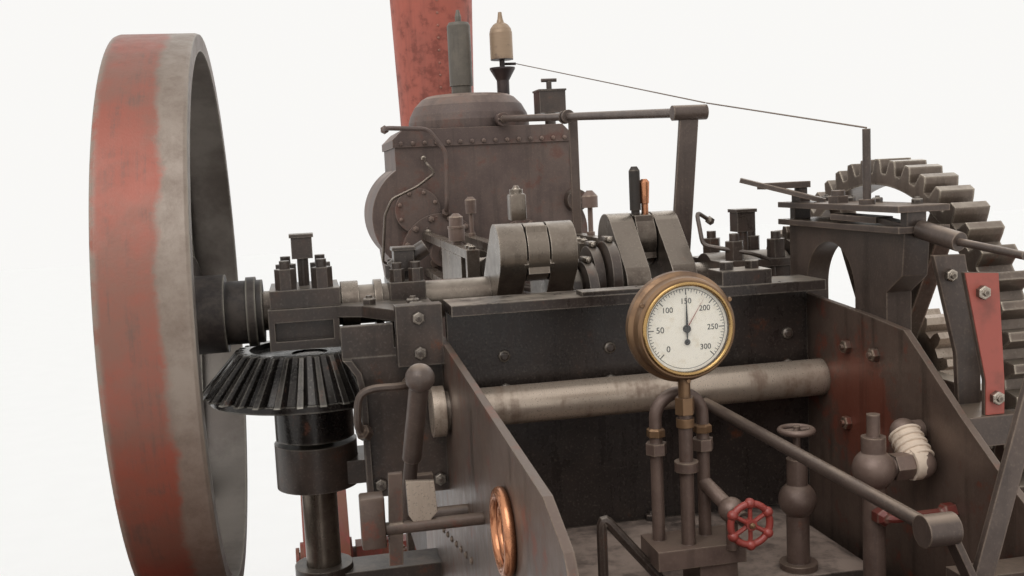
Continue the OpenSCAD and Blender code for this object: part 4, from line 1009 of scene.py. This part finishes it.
@dataclass
class Riveting(Assembly):
    """Rivets of the boiler, smokebox, chimney, hornplates and tender."""

    barrel_z: float = -1.005
    barrel_band_r: float = 0.4405
    smokebox_r: float = 0.465
    smokebox_band_r: float = 0.4765
    hoop_rivets: int = 44
    firebox_half: float = 0.455
    hornplate_face: float = 0.47
    chimney_y: float = 3.08
    tender_half: float = 0.62
    tender_back: float = -2.34
    tender_front: float = -1.56

    def _hoop(self, form: Form, y: float, radius: float) -> None:
        """Puts a ring of rivets round the boiler, open at the bottom.

        Args:
            form: The piece that takes them.
            y: Place along the boiler, from the crankshaft.
            radius: The ring's radius.
        """
        centre = at(0.0, y, self.barrel_z)
        for place in circle(centre, Y, radius, self.hoop_rivets, 180 / self.hoop_rivets):
            if place.z - centre.z > -radius * 0.8:
                form.rivets([place], (place - centre).normalized())

    def shape(self) -> None:
        """Rivets the plate work."""
        boiler = self.form("boiler_rivets", "boiler_black")
        for y in (0.235, 2.445):
            for row in (-0.012, 0.012):
                self._hoop(boiler, y + row, self.barrel_band_r)
        for side in SIDES:
            x = side * self.firebox_half
            for z in (-1.66, -1.59):
                boiler.rivets(line((x, -0.7, z), (x, 0.1, z), 14), X * side)
        tops = (
            (0.033, 0.015), (0.033, -0.153), (0.122, -0.194), (0.028, -0.305), (-0.09, -0.1), (-0.09, 0.05)
        )
        boiler.nuts([at(x, y, -0.55) for x, y in tops], Z, 0.017)

        smokebox = self.form("smokebox_rivets", "smokebox_black")
        band_r = self.smokebox_band_r
        for y, radius in ((2.64, band_r), (3.405, band_r), (2.7, self.smokebox_r)):
            self._hoop(smokebox, y, radius)
        smokebox.rivets(circle(at(0.0, 3.42, self.barrel_z), Y, 0.437, 26, 7.0), Y)

        chimney = self.form("chimney_rivets", "red_oxide")
        low, high = (self.chimney_y - radius for radius in (0.172486, 0.222514))
        chimney.rivets(line((0.0, low, -0.37), (0.0, high, 1.24), 26), -Y, 0.007)
        chimney.nuts(circle(at(0.0, self.chimney_y, -0.43), Z, 0.2, 10, 18.0), Z, 0.014)

        plates = self.form("hornplate_rivets", "horn_brown")
        for side in SIDES:
            x = side * self.hornplate_face
            for start, end, count in (
                ((x, -0.62, -0.48), (x, 0.22, -0.64), 12),
                ((x, -1.5, -1.12), (x, -1.5, -0.95), 4),
            ):
                plates.rivets(line(start, end, count), X * side)
        plates.nuts([at(0.455, y, z) for z in (-0.12, -0.3) for y in (-0.5, -0.62)], -X, 0.016)

        tender = self.form("tender_rivets", "tender_red")
        back, front = self.tender_back, self.tender_front
        for z in (-1.65, -1.25, -0.705):
            tender.rivets(line((-0.58, back, z), (0.58, back, z), 24), -Y)
            for side in SIDES:
                x = side * self.tender_half
                tender.rivets(line((x, back + 0.04, z), (x, front - 0.04, z), 15), X * side)
        for x in (-0.585, 0.585):
            tender.rivets(line((x, back, -1.59), (x, back, -0.75), 16), -Y)


@dataclass
class Studding(Assembly):
    """Nuts, studs and oil cups of the block, slide bars, eccentrics, bracket and big ends."""

    low_x: float = -0.2
    high_x: float = 0.16
    bars_x: tuple[float, ...] = (-0.258, -0.142, 0.102, 0.218)
    bar_top: float = 0.088

    def shape(self) -> None:
        """Puts the nuts and cups on."""
        block = self.form("cylinder_studs", "cylinder_brown")
        for x, radius, count in ((self.low_x, 0.148, 12), (self.high_x, 0.104, 10)):
            for y, axis in ((1.66, -Y), (2.305, Y)):
                block.nuts(circle(at(x, y, 0), Y, radius, count, 15.0), axis, 0.013)
        block.nuts(circle(at(-0.29, 1.67, 0.18), Y, 0.08, 8, 20.0), -Y, 0.009)
        block.nuts(line((-0.345, 1.692, 0.462), (0.36, 1.692, 0.462), 15), -Y, 0.0095)
        block.nuts(circle(at(-0.005, 1.98, 0.558), Z, 0.252, 20, 9.0), Z, 0.011)
        block.nuts(circle(at(0.09, 1.655, 0.546), Y, 0.019, 2, 90.0), -Y, 0.006)

        feet = [at(x, y, self.bar_top) for x in self.bars_x for y in (0.494, 0.56, 1.6, 1.64)]
        self.form("slide_bar_bolts", "oily_steel", "bright_steel").nuts(feet, Z, 0.012)
        cups = self.form("slide_bar_cups", "fitting_tan")
        for x, y, steps in (
            (-0.262, 0.78, (
                (0.012, 0.018), (0.042, 0.028), (0.008, 0.03), (0.03, 0.024), (0.012, 0.024, 0.01),
            )),
            (-0.142, 1.2, ((0.012, 0.014), (0.075, 0.008), (0.05, 0.02, 0.022), (0.012, 0.022, 0.01))),
            (0.226, 0.85, ((0.012, 0.014), (0.085, 0.009), (0.04, 0.028), (0.02, 0.028, 0.01))),
        ):
            cups.turned(at(x, y, self.bar_top), Z, steps)

        valves = self.form("eccentric_bolts", "oily_steel")
        lug = Vector((0.011, 0.024, 0.008))
        for x, y, z in (
            (-0.071, 0.025, -0.03), (-0.04, -0.03, -0.02), (-0.007, 0.03, 0.015), (0.024, -0.02, 0.03)
        ):
            for side in SIDES:
                foot = at(x, y, z + side * 0.101)
                valves.block(foot - lug, foot + lug, 0.003)
                for way in SIDES:
                    valves.nuts([foot + Y * way * lug.y], Y * way, 0.008)

        bracket = self.form("bracket_bolts", "cast_dark")
        tops = ((-0.52, -0.2), (-0.52, -0.275), (-0.62, -0.13), (-0.5, 0.1))
        bracket.nuts([at(x, y, 0.013) for x, y in tops], Z, 0.017)
        backs = (
            (-0.525, -0.35, -0.08), (-0.525, -0.35, 0.0), (-0.49, -0.3065, -0.39), (-0.63, -0.3065, -0.39)
        )
        bracket.nuts([at(*place) for place in backs], -Y, 0.015)
        bracket.nuts([at(0.545, y, 0.21) for y in (-0.24, -0.36, -0.48, -0.64)], Z, 0.012)
        crossplate = [at(x, -0.302, z) for x in (-0.322, -0.062, 0.2, 0.4) for z in (-0.112, -0.193)]
        bracket.rivets(crossplate, -Y, 0.016)

        straps = self.form("low_big_end_fittings", "oily_steel", body="low_rod")
        straps.block(at(-0.222, 0.035, 0.19), at(-0.178, 0.085, 0.262), 0.006)
        straps.turned(at(self.low_x, 0.06, 0.262), Z, ((0.012, 0.018), (0.01, 0.012, 0.006)))
        for side in SIDES:
            feet = [at(self.low_x + side * 0.027, y, z) for y, z in ((-0.175, 0.09), (-0.055, 0.075))]
            straps.nuts(feet, X * side, 0.013)
        high = self.form("high_big_end_fittings", "smokebox_black", "oily_steel", "high_rod")
        high.turned(at(0.1465, 0.1, 0.186), Z, ((0.012, 0.012), (0.11, 0.0155), (0.012, 0.0155, 0.008)))
        cup = self.form("high_big_end_cup", "copper", "gauge_brass", "high_rod")
        cup.turned(at(0.1742, 0.1, 0.186), Z, ((0.03, 0.01), (0.06, 0.012, 0.015), (0.008, 0.015, 0.008)))


@dataclass
class Piping(Assembly):
    """Small pipes and bars with their unions, the pots on the block's back and a drain lever."""

    def shape(self) -> None:
        """Lays the pipes, each with a six-sided union at both ends, and sets the pots."""
        for name, finish, radius, path in (
            ("block_pipe", "cylinder_brown", 0.0095, (
                (-0.409, 1.69, 0.521), (-0.409, 1.6, 0.524), (-0.238, 1.6, 0.514),
                (-0.169, 1.6, 0.418), (-0.176, 1.6, 0.2), (-0.176, 1.662, 0.16),
            )),
            ("oil_pipe", "oily_steel", 0.006, (
                (-0.256, 1.672, 0.4), (-0.256, 1.55, 0.371), (-0.225, 1.55, 0.334), (-0.302, 1.55, 0.281),
                (-0.406, 1.55, 0.237), (-0.438, 1.55, 0.174), (-0.458, 1.55, -0.016), (-0.4, 1.7, -0.05),
            )),
            ("bearing_pipe", "cast_dark", 0.006, (
                (0.33, 0.0, 0.16), (0.276, -0.03, 0.19), (0.28, -0.06, 0.1),
                (0.4, -0.11, 0.075), (0.46, -0.105, 0.05), (0.465, -0.1, -0.02),
            )),
            ("hand_rail", "cast_dark", 0.011, (
                (-0.222, -0.74, -0.551), (-0.222, -0.74, -0.371), (-0.19, -0.74, -0.41),
                (-0.1, -0.74, -0.52), (-0.095, -0.74, -0.551),
            )),
            ("loop_bar", "lever_brown", 0.0095, (
                (-0.656, -0.3295, -0.262), (-0.678, -0.362, -0.24), (-0.672, -0.362, -0.165),
                (-0.64, -0.362, -0.15), (-0.565, -0.362, -0.152), (-0.545, -0.3055, -0.152),
            )),
            ("drain_pipe", "tender_red", 0.01, (
                (0.312, -0.868, -0.389), (0.312, -0.9, -0.389), (0.4545, -0.9, -0.389),
            )),
        ):
            form = self.form(name, finish, "fitting_tan")
            points = [at(*place) for place in path]
            form.pipe(points, radius)
            union = ((radius * 2.2, radius * 1.9), (radius, radius * 1.9, radius))
            for place, after in (points[:2], points[:-3:-1]):
                form.turned(place, (after - place).normalized(), union, 6)

        pots = self.form("block_pots", "cast_dark")
        pots.block(at(-0.395, 1.6, -0.185), at(-0.3, 1.7, -0.075), 0.012)
        pots.turned(at(-0.3475, 1.65, -0.075), Z, ((0.012, 0.03), (0.01, 0.012)))
        pots.rod(at(0.4, 1.705, 0.19), at(0.4, 1.655, 0.19), 0.052, 0.046, 28)
        pots.turned(at(0.4, 1.655, 0.19), -Y, ((0.012, 0.02), (0.016, 0.012, 0.014)), 6)
        pots.rod(at(-0.548, 0.03, 0.082), at(-0.455, 0.03, 0.135), 0.022)
        pots.rod(at(-0.52, 0.03, 0.055), at(-0.515, 0.03, 0.095), 0.012)
        lever = self.form("drain_lever", "fitting_tan")
        lever.block(at(-0.245, 1.645, -0.19), at(-0.222, 1.66, -0.02), 0.004)
        lever.rod(at(-0.235, 1.665, -0.04), at(-0.235, 1.635, -0.04), 0.017)


@dataclass
class Footplate(Assembly):
    """Fittings near the driver: a red handwheel, lagged pipe, strap, copper eye, latch and treads."""

    cock: Point = (0.03, -0.889, -0.37)
    strap_y: float = -0.9053
    strap_thick: float = 0.003
    latch_y: float = -0.806
    latch_thick: float = 0.012
    ribs: int = 14
    rib_pitch: float = 0.05

    def shape(self) -> None:
        """Shapes the fittings round the backhead."""
        wheel = self.form("cock_handwheel", "valve_red", "fitting_tan")
        centre = at(*self.cock)
        wheel.ring(centre, Y, 0.04, 0.007)
        for place in circle(centre, Y, 0.041, 6):
            wheel.ball(place, 0.0105)
        for place in circle(centre, Y, 0.039, 3):
            wheel.rod(centre * 2 - place, place, 0.0045, sides=8)
        wheel.rod(centre + Y * 0.006, centre - Y * 0.008, 0.011)
        nut = self.form("cock_nut", "gauge_brass")
        nut.nuts([centre - Y * 0.008], -Y, 0.006)
        for x in (-0.098, 0.002):
            nut.turned(at(x, -0.728, -0.225), Z, ((0.014, 0.019), (0.004, 0.019, 0.014)), 6)
        nut.turned(at(-0.05, -0.769, -0.2), Z, ((0.018, 0.018),))

        lagging = self.form("pipe_lagging", "lagging", "fitting_tan")
        path = [at(0.392, -0.85, -0.302), at(0.4145, -0.85, -0.302), at(0.4155, -0.792, -0.252)]
        lagging.pipe(path, 0.0315, 20)
        for share in (0.15, 0.35, 0.55, 0.75, 0.95):
            place = path[1].lerp(path[2], share)
            lagging.ring(place, (path[2] - path[1]).normalized(), 0.031, 0.0035, 24)

        strap = self.form("red_strap", "strap_red", "tender_red")
        outline = (
            (0.521, -0.199), (0.521, -0.131), (0.475, 0.085),
            (0.547, 0.08), (0.561, -0.134), (0.561, -0.199),
        )
        strap.plate([at(x, self.strap_y, z) for x, z in outline], -Y * self.strap_thick)
        pins = self.form("strap_pins", "oily_steel")
        outer = self.strap_y - self.strap_thick
        pins.nuts([at(0.51, outer, 0.045), at(0.541, outer, -0.165)], -Y, 0.014)
        pins.nuts([at(0.51, -0.807, 0.07)], -Y, 0.013)
        rings = self.form("rope_eye", "copper", "fitting_tan")
        rings.ring(at(-0.4785, -1.055, -0.27), X, 0.064, 0.011)
        rings.ring(at(-0.4735, -1.055, -0.27), X, 0.045, 0.007)

        handle = self.form("latch_lever", "horn_brown", "oily_steel")
        handle.rod(at(-0.47, -0.8, -0.33), at(-0.655, -0.8, -0.33), 0.012)
        handle.block(at(-0.7, -0.822, -0.36), at(-0.655, -0.778, -0.262), 0.004)
        outline = ((-0.644, -0.225), (-0.618, -0.225), (-0.626, -0.4), (-0.652, -0.4))
        handle.plate([at(x, self.latch_y, z) for x, z in outline], Y * self.latch_thick)
        catch = self.form("latch_catch", "bright_steel", "oily_steel")
        outline = (
            (-0.613, -0.242), (-0.56, -0.247), (-0.557, -0.305),
            (-0.575, -0.325), (-0.6, -0.325), (-0.611, -0.307),
        )
        catch.plate([at(x, self.latch_y, z) for x, z in outline], Y * self.latch_thick)

        tread = self.form("footplate_ribs", "plate_dark", "tender_red")
        for step in range(self.ribs):
            y = -0.84 - step * self.rib_pitch
            tread.block(at(-0.43, y - 0.004, -1.21), at(0.43, y + 0.004, -1.2065))


@dataclass
class Gauge(Assembly):
    """The pressure gauge's dial, figures, needles, bezel and glass."""

    middle: Point = (-0.05, -0.79, 0.0)
    dial_r: float = 0.0845
    mark_r: float = 0.078
    figure_r: float = 0.054
    face: float = 0.0015
    ink: float = 0.0003
    top_value: int = 300
    reading: int = 150
    red_line: int = 186
    sweep: float = 270.0

    def _place(self, value: float, radius: float, lift: float = 0.0) -> Vector:
        """Gives the place on the dial of a value, at a radius and a height off the dial."""
        turn = math.radians(-self.sweep / 2 + self.sweep * value / self.top_value)
        return at(*self.middle) + Vector((math.sin(turn) * radius, -lift, math.cos(turn) * radius))

    def _disc(self, name: str, finish: str, low: float, high: float) -> None:
        """Adds a disc of the dial's size between two heights off its back."""
        low_place, high_place = (at(*self.middle) - Y * height for height in (low, high))
        self.form(name, finish, "gauge_brass").rod(low_place, high_place, self.dial_r, sides=64)

    def _needle(self, form: Form, value: float, tip: float, tail: float, half: float, lift: float) -> None:
        """Adds a needle as a thin tapered plate.

        Args:
            form: The piece that it belongs to.
            value: The value that it points at.
            tip: Its length to the point.
            tail: Its length behind the middle.
            half: Half its width.
            lift: Its height off the dial.
        """
        centre = self._place(value, 0.0, lift)
        ahead = (self._place(value, 1.0, lift) - centre).normalized()
        across = ahead.cross(Y) * half
        outline = (centre + across, centre + ahead * tip, centre - across, centre - ahead * tail)
        form.plate(outline, -Y * 0.0006)

    def shape(self) -> None:
        """Shapes the gauge's face."""
        centre = at(*self.middle)
        self._disc("gauge_dial", "enamel", 0.0003, self.face)

        ink = self.form("gauge_figures", "ink", "gauge_brass")
        facing = Matrix.Rotation(math.radians(90), 4, "X")
        for value in range(0, self.top_value + 1, 50):
            place = Matrix.Translation(self._place(value, self.figure_r, 0.0018)) @ facing
            ink.figures(str(value), place, 0.017 if value < 100 else 0.0155, self.ink)
        for value in range(0, self.top_value + 1, 5):
            length = 0.011 if value % 50 == 0 else 0.007 if value % 10 == 0 else 0.004
            half = 0.0009 if value % 50 == 0 else 0.0005
            start = self._place(value, self.mark_r - length, self.face)
            end = self._place(value, self.mark_r, self.face)
            across = (end - start).normalized().cross(Y) * half
            ink.plate([start + across, end + across, end - across, start - across], -Y * self.ink)
        ink.ring(centre - Y * self.face, Y, self.mark_r + 0.0005, 0.0005, 96)
        self._needle(ink, self.reading, 0.072, 0.03, 0.0028, 0.0045)
        ink.rod(centre - Y * self.face, centre - Y * 0.0065, 0.0075)
        ink.ball(self._place(self.reading, -0.026, 0.0048), 0.006, (1.0, 0.12, 1.0))
        red = self.form("gauge_red_line", "valve_red", "gauge_brass")
        self._needle(red, self.red_line, 0.07, 0.0, 0.001, 0.0032)

        self.form("gauge_bezel", "gold", "gauge_brass").ring(centre - Y * 0.0105, Y, 0.0885, 0.0042, 96)
        self._disc("gauge_glass", "glass", 0.0078, 0.0092)
        screws = self.form("gauge_screws", "gauge_brass")
        for place in circle(centre - Y * 0.0025, Y, 0.1035, 3, 60.0):
            screws.turned(place, -Y, ((0.003, 0.005, 0.0042),), 12)


@dataclass
class WheelWork(Assembly):
    """Rivets and hub nuts of the four road wheels.

    Each pair's row holds its name, the middle of the right wheel's inner face, how far out its two
    rings lie, their radius, the spokes of a row and the radius of the hub's nut circle.
    """

    ring_half: float = 0.0095
    cap_lift: float = 0.0705
    pairs: tuple[tuple[Any, ...], ...] = (
        ("rear_wheel", (0.95, -0.92, -1.46), (0.11, 0.36), 0.905, 12, 0.175),
        ("front_wheel", (0.638, 3.15, -1.8), (0.08, 0.156), 0.59, 8, 0.13),
    )

    def shape(self) -> None:
        """Dresses the four wheels."""
        for side, letter in ((1, "r"), (-1, "l")):
            out = X * side
            for name, (x, y, z), rings, ring_r, spokes, cap_r in self.pairs:
                body = f"{name}_{letter}"
                form = self.form(f"{body}_rivets", "wheel_red", body=body)
                hub = at(side * x, y, z)
                for ring, way in zip(rings, SIDES):
                    face = hub + out * (ring + way * self.ring_half)
                    form.rivets(circle(face, X, ring_r, spokes * 2, 90 / spokes), out * way, 0.011)
                cap = hub + out * (rings[1] + self.cap_lift)
                form.nuts(circle(cap, X, cap_r, spokes, 180 / spokes), out, 0.013)


def main() -> None:
    """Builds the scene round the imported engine."""
    logging.basicConfig(level=logging.INFO, format="%(message)s")
    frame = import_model()
    shop = PaintShop()
    Stage().build()
    shop.dress(frame["nodes"])
    for assembly in (Riveting, Studding, Piping, Footplate, Gauge, WheelWork):
        assembly(shop).build()


if __name__ == "__main__":
    main()
